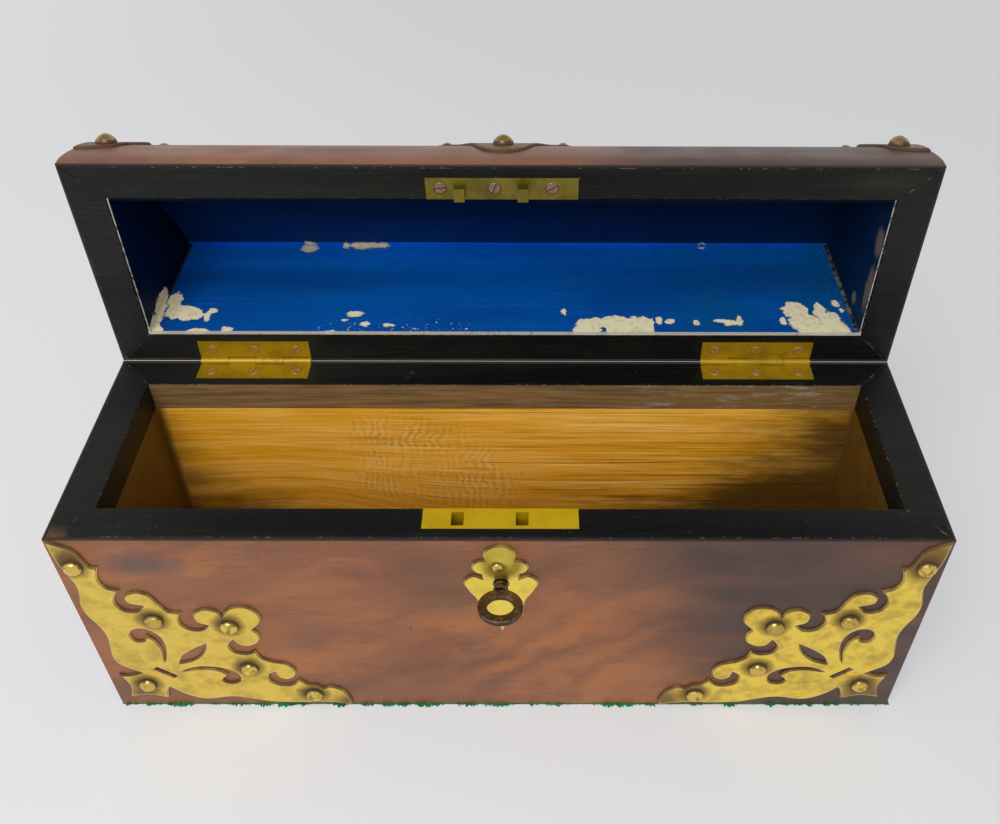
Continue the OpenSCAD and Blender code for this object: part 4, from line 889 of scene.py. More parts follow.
@dataclass(frozen=True)
class BlueSilk(Finish):
    """Watered blue silk on card, torn down to cream paper in places."""

    blue: Colour = (0.0002, 0.175, 0.78)
    deep: Colour = (0.0002, 0.115, 0.57)
    sheen: Colour = (0.0004, 0.26, 0.98)
    teal: Colour = (0.0010, 0.165, 0.46)
    night: Colour = (0.0004, 0.0018, 0.0085)
    paper: Colour = (0.78, 0.70, 0.47)
    stain: Colour = (0.40, 0.31, 0.17)
    # colour of the painted shadow along the inner corners of the lining
    crease_shadow: Colour = (0.012, 0.008, 0.007)
    dusty: Colour = (0.20, 0.16, 0.12)
    edge_grey: Colour = (0.50, 0.46, 0.38)
    rim_plane: float = 42.7
    card: float = 0.85
    floor_z: float = 112.6
    inner_x: float = 131.2
    tears: tuple[Spot, ...] = (
        *lit_spots(
            (-122.4, 54.3, 6.6, 4.6), (-127.2, 60.6, 2.4, 6.6), (-129.9, 44.6, 2.6, 3.2),
            (-130.2, 50.6, 1.4, 5.0), (-117.2, 52.4, 3.2, 2.2), (31.8, 48.6, 5.4, 3.2),
            (30.5, 44.6, 5.0, 3.4), (41.0, 49.6, 6.0, 3.6), (50.6, 49.4, 5.4, 3.2),
            (110.3, 57.0, 4.6, 5.0), (113.0, 48.4, 6.4, 6.4), (119.2, 46.2, 9.4, 5.4),
            (119.4, 56.0, 2.2, 5.6), (122.0, 50.6, 4.0, 5.0),
        ),
        Spot((-131.2, 58.0, 114.0), (1.5, 8.0, 4.2)),
        Spot((-131.2, 48.0, 113.0), (1.5, 6.0, 2.6)),
    )
    block: Spot = Spot((46.5, 45.4, 112.6), (8.9, 6.0, 3.0))
    flecks: tuple[Spot, ...] = (
        *lit_spots(
            (-112.6, 53.0, 1.3, 3.8), (-111.0, 55.6, 1.6, 1.4), (-114.3, 43.6, 4.2, 1.3),
            (-103.6, 44.6, 2.1, 1.6), (-81.4, 96.2, 3.5, 2.5), (-82.7, 103.0, 3.9, 1.1),
            (-78.8, 99.8, 1.6, 1.4), (-66.6, 100.2, 1.3, 4.0), (-60.1, 99.4, 5.2, 3.2),
            (-51.6, 99.6, 3.2, 2.4), (-55.6, 98.6, 2.6, 1.6), (-57.2, 53.8, 3.2, 1.7),
            (-60.8, 50.2, 1.3, 0.7), (-52.8, 47.9, 1.9, 1.5), (-43.6, 47.3, 2.4, 0.9),
            (-65.3, 43.4, 2.0, 0.8), (57.6, 50.4, 1.4, 2.2), (61.8, 49.8, 1.8, 1.5),
            (71.8, 48.9, 1.3, 1.7), (81.6, 50.0, 3.6, 1.0), (84.6, 48.8, 2.9, 1.6),
            (88.0, 50.2, 1.2, 3.0), (22.0, 55.3, 0.9, 1.9), (104.4, 50.2, 1.3, 2.2),
            (126.2, 60.8, 1.6, 2.1), (127.9, 56.6, 0.8, 1.4), (79.4, 97.4, 1.4, 0.7),
        ),
        Spot((131.2, 42.9, 183.0), (1.5, 1.6, 1.6)),
        Spot((-131.2, 42.9, 183.0), (1.5, 1.4, 3.0)),
    )
    kept: tuple[Spot, ...] = lit_spots(
        (115.6, 58.0, 1.3, 4.4), (-124.6, 48.0, 3.6, 2.6), (-122.6, 60.8, 1.8, 2.0)
    )
    brown_spots: tuple[Spot, ...] = (
        Spot((131.2, 46.4, 151.0), (1.5, 3.6, 5.6)),
        Spot((131.2, 45.4, 132.0), (1.5, 2.8, 9.0)),
        Spot((131.2, 56.4, 119.0), (1.5, 2.2, 2.6)),
    )
    unfaded: Spot = Spot((48.0, 60.0, 112.6), (16.0, 9.0, 3.0))

    def build(self) -> bpy.types.Material:
        """Builds the silk: watered lines, torn patches with paper below, a paper edge, dust."""
        material, g, shader = self.start("Watered silk")
        place = g.place_mm()
        silk, thread = self.watered(g, place)
        # painted light and shade: the silk goes towards near-black blue where little light is painted
        silk = g.mix(self.painted_light(g, place), self.night, silk)
        torn = g.math("MAXIMUM", self.torn(g, place), self.crumbs(g, place))
        soft = g.group(RAGGED, Place=place, Reach=2.0, Scale=0.3).outputs["Moved"]
        stained = any_of(g, [s.mask(g, soft, 0.3) for s in self.brown_spots])
        fibres = g.noise(place, 0.45, 5, 0.65).outputs["Fac"]
        cream = g.mix(g.ramp(fibres, 0.46, 0.72, 0.0, 0.5), self.paper, self.stain)
        silk = g.mix(g.math("MULTIPLY", stained, 0.36), silk, self.stain)
        # painted shadow where the end linings meet the lit lining: solid on the left, broken by a dusty grey
        # on the right
        seam = g.mix(g.ramp(fibres, 0.44, 0.58), self.crease_shadow, self.dusty)
        right = g.math("GREATER_THAN", g.axes(place)[0], 0.0)
        silk = g.mix(self.creases(g, place), silk, g.mix(right, self.crease_shadow, seam))
        edge, cut = self.card_edge(g, place)
        silk = g.mix(cut, silk, self.night)
        colour = g.mix(torn, silk, cream)
        colour = g.mix(edge, colour, self.edge_grey)
        bare = g.math("MAXIMUM", torn, edge)
        rough = g.blend(bare, 0.6, 0.9)
        paper_height = g.math("MULTIPLY", g.noise(place, 1.2, 4, 0.65).outputs["Fac"], 0.5)
        height = g.blend(bare, g.math("ADD", 1.6, g.math("MULTIPLY", thread, 0.2)), paper_height)
        normal = g.bump(height, 0.7, 0.00012)
        self.join(g, shader, Base_Color=colour, Roughness=rough, Normal=normal, Specular_IOR_Level=0.08)
        return material

    def torn(self, g: Graph, place: bpy.types.NodeSocket) -> bpy.types.NodeSocket:
        """Returns where the silk is torn away: large tears, a square one and small flecks."""
        wide = g.group(RAGGED, Place=place, Reach=3.2, Scale=0.22).outputs["Moved"]
        fine = g.group(RAGGED, Place=place, Reach=1.7, Scale=0.5).outputs["Moved"]
        large = any_of(g, [s.mask(g, wide, 0.06) for s in self.tears])
        whole = any_of(g, [s.mask(g, wide, 0.06) for s in self.kept])
        large = g.math("MULTIPLY", large, g.math("SUBTRACT", 1.0, whole))
        small = any_of(g, [s.mask(g, fine, 0.12) for s in self.flecks])
        return any_of(g, (large, small, self.squared(g, place)))

    def squared(self, g: Graph, place: bpy.types.NodeSocket) -> bpy.types.NodeSocket:
        """Returns the tear with straight ends and a frayed top."""
        frayed = g.noise(g.vector("MULTIPLY", place, (1.1, 0.05, 0.05)), 1.0, 4, 0.7).outputs["Fac"]
        across, back, up = g.axes(place)
        centre, size = self.block.centre, self.block.size
        aside = g.math("DIVIDE", g.math("ABSOLUTE", g.math("SUBTRACT", across, centre[0])), size[0])
        ahead = g.math("SUBTRACT", back, g.math("MULTIPLY", g.math("SUBTRACT", frayed, 0.5), 4.0))
        ahead = g.math("DIVIDE", g.math("ABSOLUTE", g.math("SUBTRACT", ahead, centre[1])), size[1])
        within = g.math("LESS_THAN", g.math("MAXIMUM", aside, ahead), 1.0)
        low = g.math("LESS_THAN", up, self.floor_z + 0.6)
        return g.math("MULTIPLY", within, low)

    def painted_light(self, g: Graph, place: bpy.types.NodeSocket) -> bpy.types.NodeSocket:
        """Returns the light and shade painted on the silk: brightest deep in the back, dimmer towards the
        front and the right, dim in the vault, near the left end and on the end linings.
        """
        across, back, up = g.axes(place)
        vault = g.math("GREATER_THAN", up, self.floor_z + 2.4)
        # painted shade in the vault, darker higher up and to the right
        shade = g.ramp(up, 113.0, 150.0, 0.18, 0.066)
        shade = g.math("MULTIPLY", shade, g.ramp(across, -60.0, 60.0, 1.0, 0.6))
        left = g.ramp(across, -40.0, 80.0, 1.0, 0.66)
        # painted light: the deep back is raised to full, the part nearer the front kept lower
        deep = g.math("MULTIPLY", g.ramp(back, 70.0, 96.0), left)
        light = g.blend(vault, g.ramp(deep, 0.0, 1.0, 0.46, 1.0), shade)
        near_left = g.ramp(across, -131.0, -112.0, 0.8, 1.0)
        light = g.math("MULTIPLY", light, near_left)
        # painted shade on the end linings, darkest on the left
        at_left = g.math("LESS_THAN", across, 0.3 - self.inner_x)
        at_right = g.math("GREATER_THAN", across, self.inner_x - 0.3)
        low_left = g.ramp(back, 45.0, 90.0, 0.040, 0.010)
        light = g.blend(at_left, light, low_left)
        return g.blend(at_right, light, g.ramp(back, 45.0, 80.0, 0.105, 0.080))

    def watered(self, g: Graph, place: bpy.types.NodeSocket) -> tuple:
        """Makes the watered pattern.

        Args:
            g: The material's graph.
            place: The place in millimetres.

        Returns:
            The silk's colour and the height of its threads.
        """
        across, back, up = g.axes(place)
        slow = g.noise(g.vector("MULTIPLY", place, (0.026, 0.010, 0.010)), 1.0, 2, 0.5).outputs["Fac"]
        run = g.math("ADD", g.math("ADD", back, up), g.math("MULTIPLY", slow, 46.0))
        wave = g.math("SINE", g.math("MULTIPLY", run, math.tau / 2.6))
        middle = g.ramp(g.math("ABSOLUTE", g.math("SUBTRACT", back, 68.0)), 8.0, 24.0, 1.0, 0.2)
        broad = g.noise(g.vector("MULTIPLY", place, (0.012, 0.05, 0.05)), 1.0, 3).outputs["Fac"]
        silk = g.mix(g.ramp(broad, 0.34, 0.66), self.deep, self.blue)
        ripple = g.math("MULTIPLY", g.ramp(wave, -0.4, 1.0), middle)
        silk = g.mix(g.math("MULTIPLY", ripple, 0.16), silk, self.sheen)
        trough = g.math("MULTIPLY", g.ramp(wave, -0.2, -1.0), middle)
        silk = g.mix(g.math("MULTIPLY", trough, 0.22), silk, self.deep)
        bent = g.noise(g.vector("MULTIPLY", place, (0.03, 0.034, 0.034)), 1.0, 2, 0.5).outputs["Fac"]
        rounds = g.math("SINE", g.math("MULTIPLY", bent, 62.0))
        inward = g.ramp(back, 66.0, 80.0)
        rounds = g.math("MULTIPLY", g.ramp(rounds, 0.1, 1.0, 0.0, 0.34), inward)
        silk = g.mix(rounds, silk, self.deep)
        streak = g.noise(g.vector("MULTIPLY", place, (0.02, 0.9, 0.9)), 1.0, 3, 0.6).outputs["Fac"]
        silk = g.mix(g.ramp(streak, 0.5, 0.75, 0.0, 0.30), silk, self.sheen)
        moved = g.group(RAGGED, Place=place, Reach=5.0, Scale=0.08).outputs["Moved"]
        silk = g.mix(g.math("MULTIPLY", self.unfaded.mask(g, moved, 0.3), 0.55), silk, self.deep)
        patch = g.math("MULTIPLY", g.ramp(slow, 0.42, 0.62), g.ramp(across, 20.0, 80.0, 0.1, 0.6))
        silk = g.mix(patch, silk, self.teal)
        # painted highlight along the bend where the lit lining turns up into the vault
        near = g.math("ABSOLUTE", g.math("SUBTRACT", back, 103.0))
        silk = g.mix(g.ramp(near, 2.0, 0.4, 0.0, 0.6), silk, self.sheen)
        thread = g.math("SINE", g.math("MULTIPLY", across, 14.0))
        return silk, thread

    def crumbs(self, g: Graph, place: bpy.types.NodeSocket) -> bpy.types.NodeSocket:
        """Masks the small crumbs of paper that show along the front of the lit lining."""
        across, back, up = g.axes(place)
        near = g.ramp(back, self.rim_plane + 19.0, self.rim_plane + 3.0)
        low = g.math("LESS_THAN", up, self.floor_z + 0.6)
        left = g.ramp(g.math("ABSOLUTE", g.math("ADD", across, 40.0)), 20.0, 45.0, 1.0, 0.3)
        end = g.ramp(across, 118.0, 128.0)
        dots = g.noise(g.vector("MULTIPLY", place, (0.9, 0.9, 0.1)), 1.0, 3, 0.6).outputs["Fac"]
        where = g.math("MAXIMUM", g.math("MULTIPLY", near, left), g.math("MULTIPLY", end, 0.8))
        limit = g.math("MULTIPLY", where, low)
        return g.ramp(g.math("ADD", dots, g.math("MULTIPLY", limit, 0.2)), 0.83, 0.86)

    def creases(self, g: Graph, place: bpy.types.NodeSocket) -> bpy.types.NodeSocket:
        """Masks the line where the end linings meet the lit lining, where a shadow is painted."""
        across, _, up = g.axes(place)
        beside = g.math("SUBTRACT", self.inner_x, g.math("ABSOLUTE", across))
        above = g.math("SUBTRACT", up, self.floor_z)
        away = g.math("MAXIMUM", beside, above)
        wide = g.math("ADD", 0.5, g.noise(place, 0.25, 4, 0.6).outputs["Fac"])
        line = g.ramp(g.math("DIVIDE", away, wide), 1.5, 0.7)
        fits = g.math("GREATER_THAN", above, -0.6)
        return g.math("MULTIPLY", g.math("MULTIPLY", line, fits), 0.9)

    def card_edge(self, g: Graph, place: bpy.types.NodeSocket) -> tuple:
        """Returns the card's pale edge, whole below and thin at the ends, and its whole cut face."""
        across, back, up = g.axes(place)
        cut = g.math("LESS_THAN", back, self.rim_plane + 0.12)
        front = g.math("LESS_THAN", back, self.rim_plane + self.card)
        low = g.math("MULTIPLY", front, g.ramp(up, 114.0, 113.2))
        worn = g.noise(g.vector("SCALE", place, 0.28), 1.0, 5, 0.7).outputs["Fac"]
        beside = g.math("SUBTRACT", g.math("ABSOLUTE", across), self.inner_x)
        thin = g.math("LESS_THAN", g.math("ABSOLUTE", g.math("SUBTRACT", beside, 0.22)), 0.22)
        ends = g.math("MULTIPLY", g.math("MULTIPLY", cut, thin), g.ramp(worn, 0.36, 0.54, 0.1, 0.75))
        solid = g.math("MULTIPLY", low, g.ramp(worn, 0.30, 0.45, 0.45, 0.9))
        pale = g.math("MAXIMUM", solid, ends)
        return pale, cut


@dataclass(frozen=True)
class Baize(Finish):
    """Green felted baize."""

    green: Colour = (0.006, 0.160, 0.045)
    fresh: Colour = (0.012, 0.280, 0.080)
    deep: Colour = (0.002, 0.045, 0.014)

    def build(self) -> bpy.types.Material:
        """Builds the baize: matted fibres in three greens."""
        material, g, shader = self.start("Green baize")
        place = g.place_mm()
        mat = g.noise(place, 1.6, 5, 0.7).outputs["Fac"]
        tone = g.noise(place, 0.12, 3).outputs["Fac"]
        cloth = g.mix(g.ramp(tone, 0.35, 0.65), self.green, self.fresh)
        cloth = g.mix(g.ramp(mat, 0.55, 0.35, 0.0, 0.7), cloth, self.deep)
        normal = g.bump(mat, 0.8, 0.0003)
        self.join(g, shader, Base_Color=cloth, Roughness=0.92, Normal=normal, Specular_IOR_Level=0.1)
        return material


@dataclass(frozen=True)
class Paintwork(Finish):
    """The plain pale floor, which shows pale far from the lamp too and keeps the box's shadow."""

    tone: Colour = (0.78, 0.78, 0.79)
    shown: Colour = (0.985, 0.985, 1.0)

    def build(self) -> bpy.types.Material:
        """Builds the floor: plain paint, mixed with its own pale light where it is only looked at."""
        material, g, shader = self.start("Pale floor")
        place = g.place_mm()
        across, back, _ = g.axes(place)
        self.join(g, shader, Base_Color=self.tone, Roughness=0.6, Specular_IOR_Level=0.1)
        # painted falloff of light: the floor's own glow is brighter to the left and front, dimmer to the
        # right and back
        level = g.ramp(g.math("ADD", across, g.math("MULTIPLY", back, 0.5)), -300.0, 300.0, 0.75, 0.63)
        glow = g.node("ShaderNodeEmission", {"Color": self.shown, "Strength": level}).outputs[0]
        rays = g.node("ShaderNodeLightPath").outputs
        seen = any_of(g, (rays["Is Camera Ray"], rays["Is Glossy Ray"], rays["Is Transmission Ray"]))
        share = g.math("MULTIPLY", seen, g.ramp(g.length(place), 250.0, 900.0, 0.45, 0.92))
        both = g.node("ShaderNodeMixShader", {0: share, 1: shader.outputs[0], 2: glow}).outputs[0]
        g.feed(material.node_tree.nodes["Material Output"].inputs["Surface"], both)
        return material


class Pattern:
    """A geometry tree with named inputs that turns a carrier mesh into repeated pieces."""

    def __init__(self, name: str, inputs: dict[str, object]) -> None:
        """Starts the tree.

        Args:
            name: The tree's name.
            inputs: Its inputs and defaults: numbers, whole numbers or None for a material.
        """
        self.tree = bpy.data.node_groups.new(name, "GeometryNodeTree")
        face = self.tree.interface
        face.new_socket("Geometry", in_out="INPUT", socket_type="NodeSocketGeometry")
        face.new_socket("Geometry", in_out="OUTPUT", socket_type="NodeSocketGeometry")
        self.keys: dict[str, str] = {}
        kinds = {int: "NodeSocketInt", float: "NodeSocketFloat", type(None): "NodeSocketMaterial"}
        for label, default in inputs.items():
            socket = face.new_socket(label, in_out="INPUT", socket_type=kinds[type(default)])
            if default is not None:
                socket.default_value = default
            self.keys[label] = socket.identifier
        self.graph = Graph(self.tree)
        self.into = self.tree.nodes.new("NodeGroupInput").outputs
        self.out = self.tree.nodes.new("NodeGroupOutput").inputs

    def finish(self, geometry: bpy.types.NodeSocket) -> None:
        """Ends the tree with real meshes and their material."""
        g = self.graph
        real = g.node("GeometryNodeRealizeInstances", {0: geometry}).outputs[0]
        inputs = {"Geometry": real, "Material": self.into["Material"]}
        self.tree.links.new(g.node("GeometryNodeSetMaterial", inputs).outputs[0], self.out[0])

    def make(self, name: str, carrier: bpy.types.Mesh, **values) -> bpy.types.Object:
        """Runs the tree on a carrier mesh and keeps the result as a plain mesh.

        Args:
            name: The new piece's name.
            carrier: The mesh whose points carry the pieces.
            values: The tree's inputs, by name with underscores for spaces.

        Returns:
            The new piece.
        """
        piece = bpy.data.objects.new(name, carrier)
        bpy.context.scene.collection.objects.link(piece)
        modifier = piece.modifiers.new("Pattern", "NODES")
        modifier.node_group = self.tree
        for label, value in values.items():
            modifier[self.keys[label.replace("_", " ")]] = value
        settled = piece.evaluated_get(bpy.context.evaluated_depsgraph_get())
        mesh = bpy.data.meshes.new_from_object(settled)
        piece.modifiers.remove(modifier)
        piece.data = mesh
        mesh.name = name
        return piece


def named(g: Graph, name: str, kind: str) -> bpy.types.NodeSocket:
    """Returns a value kept on the geometry under the given name."""
    made = g.node("GeometryNodeInputNamedAttribute", data_type=kind)
    made.inputs["Name"].default_value = name
    return made.outputs[0]


def keep(g: Graph, geometry, name: str, value, domain: str = "POINT") -> bpy.types.NodeSocket:
    """Stores a number on the geometry under a name.

    Args:
        g: The tree's graph.
        geometry: The geometry to store it on.
        name: The name to store it under.
        value: The number or the socket that gives it.
        domain: Where it is stored.

    Returns:
        The geometry with the number on it.
    """
    made = g.node("GeometryNodeStoreNamedAttribute", data_type="FLOAT", domain=domain)
    g.feed(made.inputs["Geometry"], geometry)
    made.inputs["Name"].default_value = name
    g.feed(made.inputs["Value"], value)
    return made.outputs[0]


def random_between(g: Graph, low: float, high: float, seed: int) -> bpy.types.NodeSocket:
    """Returns a random number between two others, the same on every run."""
    made = g.node("FunctionNodeRandomValue", {2: low, 3: high, "Seed": seed}, data_type="FLOAT")
    return made.outputs[1]


def instanced(g: Graph, points, item, turn: bpy.types.NodeSocket) -> bpy.types.NodeSocket:
    """Places an item on each point, with its Z axis along the point's facing.

    Args:
        g: The tree's graph.
        points: The points.
        item: The geometry to place.
        turn: The angle of the item about its own axis.

    Returns:
        The instances.
    """
    facing = named(g, "facing", "FLOAT_VECTOR")
    aligned = g.node("FunctionNodeAlignRotationToVector", {"Vector": facing}, axis="Z").outputs[0]
    about = g.node("FunctionNodeAxisAngleToRotation", {"Axis": (0.0, 0.0, 1.0), "Angle": turn}).outputs[0]
    rotated = g.node("FunctionNodeRotateRotation", {0: aligned, 1: about}, rotation_space="LOCAL").outputs[0]
    inputs = {"Points": points, "Instance": item, "Rotation": rotated}
    return g.node("GeometryNodeInstanceOnPoints", inputs).outputs[0]


def stud_pattern() -> Pattern:
    """Builds the tree of domed, slightly pointed studs with a collar at the foot.

    Returns:
        The pattern, with Radius, Height, Sunk and Point, how much the top is drawn up.
    """
    made = Pattern(
        "Domed studs",
        {"Radius": 0.003, "Height": 0.0025, "Sunk": 0.0003, "Point": 0.2, "Seed": 3, "Material": None},
    )
    g, i = made.graph, made.into
    ball = g.node("GeometryNodeMeshUVSphere", {"Segments": 32, "Rings": 20, "Radius": 1.0}).outputs[0]
    here = g.node("GeometryNodeInputPosition").outputs[0]
    x, y, z = g.axes(here)
    up = g.math("MAXIMUM", z, 0.0)
    peak = g.math("ADD", 1.0, g.math("MULTIPLY", i["Point"], g.math("POWER", up, 6.0)))
    full = g.math("ADD", 1.0, i["Point"])
    tall = g.math("MULTIPLY", g.math("DIVIDE", g.math("MULTIPLY", up, peak), full), i["Height"])
    below = g.math("MULTIPLY", g.math("LESS_THAN", z, 0.0001), i["Sunk"])
    lowered = g.math("SUBTRACT", tall, below)
    across = g.math("MULTIPLY", x, i["Radius"])
    along = g.math("MULTIPLY", y, i["Radius"])
    shaped = g.node("ShaderNodeCombineXYZ", {0: across, 1: along, 2: lowered}).outputs[0]
    dome = g.node("GeometryNodeSetPosition", {"Geometry": ball, "Position": shaped}).outputs[0]
    height = g.math("DIVIDE", g.axes(here)[2], i["Height"])
    dome = keep(g, dome, "rise", height)
    smooth = g.node("GeometryNodeSetShadeSmooth", {0: dome}).outputs[0]
    turn = random_between(g, 0.0, math.tau, 11)
    studs = instanced(g, i["Geometry"], smooth, turn)
    tone = g.node("FunctionNodeRandomValue", {2: 0.0, 3: 0.5, "Seed": i["Seed"]}, data_type="FLOAT")
    made.finish(keep(g, studs, "tone", tone.outputs[1], "INSTANCE"))
    return made


def screw_pattern() -> Pattern:
    """Builds the tree of slotted countersunk heads, set flush with a dark rim.

    Returns:
        The pattern, with Radius, Depth, Proud, Slot Width and Slot Depth.
    """
    made = Pattern(
        "Slotted screws",
        {
            "Radius": 0.002,
            "Depth": 0.0009,
            "Proud": 0.00012,
            "Slot Width": 0.0005,
            "Slot Depth": 0.0005,
            "Material": None,
        },
    )
    g, i = made.graph, made.into
    rim = g.math("MULTIPLY", i["Radius"], 0.12)
    inner = g.math("SUBTRACT", i["Radius"], rim)
    head_inputs = {
        "Vertices": 36,
        "Side Segments": 1,
        "Fill Segments": 1,
        "Radius Top": inner,
        "Radius Bottom": i["Radius"],
        "Depth": rim,
    }
    head = g.node("GeometryNodeMeshCone", head_inputs)
    lift = g.node("ShaderNodeCombineXYZ", {2: g.math("SUBTRACT", i["Proud"], rim)}).outputs[0]
    top = g.node("GeometryNodeTransform", {"Geometry": head.outputs[0], "Translation": lift}).outputs[0]
    size = g.node(
        "ShaderNodeCombineXYZ",
        {0: g.math("MULTIPLY", i["Radius"], 1.78), 1: i["Slot Width"], 2: i["Slot Depth"]},
    ).outputs[0]
    slot = g.node("GeometryNodeMeshCube", {"Size": size}).outputs[0]
    slot_up = g.node("ShaderNodeCombineXYZ", {2: i["Proud"]}).outputs[0]
    slot = g.node("GeometryNodeTransform", {"Geometry": slot, "Translation": slot_up}).outputs[0]
    body_inputs = {"Vertices": 36, "Radius": i["Radius"], "Depth": i["Depth"]}
    body = g.node("GeometryNodeMeshCylinder", body_inputs).outputs[0]
    sunk = g.math("SUBTRACT", g.math("SUBTRACT", i["Proud"], rim), g.math("MULTIPLY", i["Depth"], 0.5))
    drop = g.node("ShaderNodeCombineXYZ", {2: sunk}).outputs[0]
    body = g.node("GeometryNodeTransform", {"Geometry": body, "Translation": drop}).outputs[0]
    whole = g.node("GeometryNodeMeshBoolean", operation="UNION", solver="EXACT")
    self_join = g.tree.links.new
    self_join(top, whole.inputs[1])
    self_join(body, whole.inputs[1])
    cut = g.node("GeometryNodeMeshBoolean", operation="DIFFERENCE", solver="EXACT")
    self_join(whole.outputs[0], cut.inputs[0])
    self_join(slot, cut.inputs[1])
    here = g.node("GeometryNodeInputPosition").outputs[0]
    x, y, z = g.axes(here)
    depth = g.math("SUBTRACT", i["Proud"], z)
    hidden = g.math("GREATER_THAN", depth, g.math("MULTIPLY", i["Radius"], 0.02))
    shown = keep(g, cut.outputs[0], "hidden", hidden)
    screws = instanced(g, i["Geometry"], shown, named(g, "turn", "FLOAT"))
    made.finish(screws)
    return made


def fringe_pattern() -> Pattern:
    """Builds the tree of loose fibres that stand out of the baize's cut edge in tufts.

    Returns:
        The pattern, with Length, Thickness, Count and Seed.
    """
    made = Pattern(
        "Baize fringe",
        {"Length": 0.0014, "Thickness": 0.00022, "Count": 1800, "Seed": 5, "Material": None},
    )
    g, i = made.graph, made.into
    fibre_inputs = {
        "Vertices": 4,
        "Side Segments": 1,
        "Radius Top": g.math("MULTIPLY", i["Thickness"], 0.3),
        "Radius Bottom": i["Thickness"],
        "Depth": i["Length"],
    }
    fibre = g.node("GeometryNodeMeshCone", fibre_inputs).outputs[0]
    path = g.node("GeometryNodeMeshToCurve", {0: i["Geometry"]}).outputs[0]
    points = g.node("GeometryNodeCurveToPoints", {"Curve": path, "Count": i["Count"]})
    jitter = g.node("FunctionNodeRandomValue", {"Seed": i["Seed"]}, data_type="FLOAT_VECTOR")
    jitter.inputs[0].default_value = (-1.0, -1.0, -1.0)
    jitter.inputs[1].default_value = (1.0, 1.0, 1.0)
    tangent = points.outputs["Tangent"]
    outward = g.vector("CROSS_PRODUCT", tangent, (0.0, 0.0, 1.0))
    spread = g.vector("MULTIPLY", jitter.outputs[0], (0.9, 0.9, 0.28))
    facing = g.vector("NORMALIZE", g.vector("ADD", outward, spread))
    aligned = g.node("FunctionNodeAlignRotationToVector", {"Vector": facing}, axis="Z").outputs[0]
    shift = g.vector("MULTIPLY", jitter.outputs[0], (0.0003, 0.0003, 0.0002))
    loose = g.node("GeometryNodeSetPosition", {"Geometry": points.outputs[0], "Offset": shift}).outputs[0]
    here = g.node("GeometryNodeInputPosition").outputs[0]
    tufts = g.noise(here, 160.0, 3, 0.65).outputs["Fac"]
    size = g.math("MULTIPLY", random_between(g, 0.35, 1.25, 21), g.ramp(tufts, 0.42, 0.66, 0.45, 2.1))
    inputs = {"Points": loose, "Instance": fibre, "Rotation": aligned, "Scale": size}
    made.finish(g.node("GeometryNodeInstanceOnPoints", inputs).outputs[0])
    return made


def material_on(piece: bpy.types.Object, finish: Finish) -> None:
    """Gives a piece one material."""
    piece.data.materials.clear()
    piece.data.materials.append(finish.material())


def dress(node: str, finish: Finish) -> None:
    """Gives a carried-over node its finish and leaves its shape alone."""
    material_on(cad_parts[node], finish)
    log.info("%s keeps its shape", node)


def welded(node: str) -> bmesh.types.BMesh:
    """Copies a node's loose triangles into one joined mesh with flat faces made whole.

    Args:
        node: The node's name.

    Returns:
        The joined mesh.
    """
    mesh = bmesh.new()
    mesh.from_mesh(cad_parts[node].data)
    bmesh.ops.remove_doubles(mesh, verts=mesh.verts, dist=WELD)
    bmesh.ops.dissolve_limit(mesh, angle_limit=math.radians(0.4), verts=mesh.verts, edges=mesh.edges)
    return mesh


def settled(mesh: bmesh.types.BMesh, name: str, body: Body, nodes: Sequence[str]) -> bpy.types.Object:
    """Turns a mesh into a piece that rides on a body and stands for CAD nodes.

    Args:
        mesh: The finished mesh; it is freed.
        name: The piece's name.
        body: The body that it moves with.
        nodes: The CAD nodes that it replaces.

    Returns:
        The piece.
    """
    data = bpy.data.meshes.new(name)
    mesh.to_mesh(data)
    mesh.free()
    data.polygons.foreach_set("use_smooth", [True] * len(data.polygons))
    data.set_sharp_from_angle(angle=SMOOTH_BELOW)
    piece = bpy.data.objects.new(name, data)
    bpy.context.scene.collection.objects.link(piece)
    return registered(piece, body, nodes)


def registered(piece: bpy.types.Object, body: Body, nodes: Sequence[str]) -> bpy.types.Object:
    """Makes a finished piece ride on its body and hides the nodes that it stands for."""
    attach(piece, body.value)
    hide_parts(*nodes)
    log.info("%s stands for %s", piece.name, ", ".join(nodes))
    return piece


@dataclass(frozen=True)
class Arris:
    """How a solid's sharp edges are rounded: the width, the steps and the sharpest angle left."""

    width: float = 0.3 * MM
    steps: int = 2
    angle: float = math.radians(35)
    shortest: float = 0.45 * MM
    hinge_y: float = 42.2 * MM
    hinge_low: float = 98.3 * MM
    hinge_high: float = 99.1 * MM

    def round(self, node: str, name: str, body: Body, finish: Finish, slot: Slot) -> bpy.types.Object:
        """Makes a rounded copy of a node, with its new faces marked as edge.

        Args:
            node: The CAD node to copy.
            name: The piece's name.
            body: The body that it rides on.
            finish: Its finish.
            slot: Not used.

        Returns:
            The piece that stands for the node.
        """
        mesh = welded(node)
        layer = mesh.faces.layers.float.new("edge")
        sharp = [
            e for e in mesh.edges
            if e.is_manifold and e.calc_face_angle(0.0) > self.angle
            and e.calc_length() > self.shortest and not self.at_hinge_line(e)
        ]
        made = bmesh.ops.bevel(
            mesh, geom=sharp, offset=self.width, offset_type="OFFSET", segments=self.steps,
            profile=0.5, clamp_overlap=False, affect="EDGES",
        )
        for face in made["faces"]:
            face[layer] = 1.0
        piece = settled(mesh, name, body, (node,))
        material_on(piece, finish)
        return piece

    def at_hinge_line(self, edge: bmesh.types.BMEdge) -> bool:
        """Tells whether an edge lies where the lid and the body all but touch at the back."""
        return all(v.co.y > self.hinge_y and self.hinge_low < v.co.z < self.hinge_high for v in edge.verts)


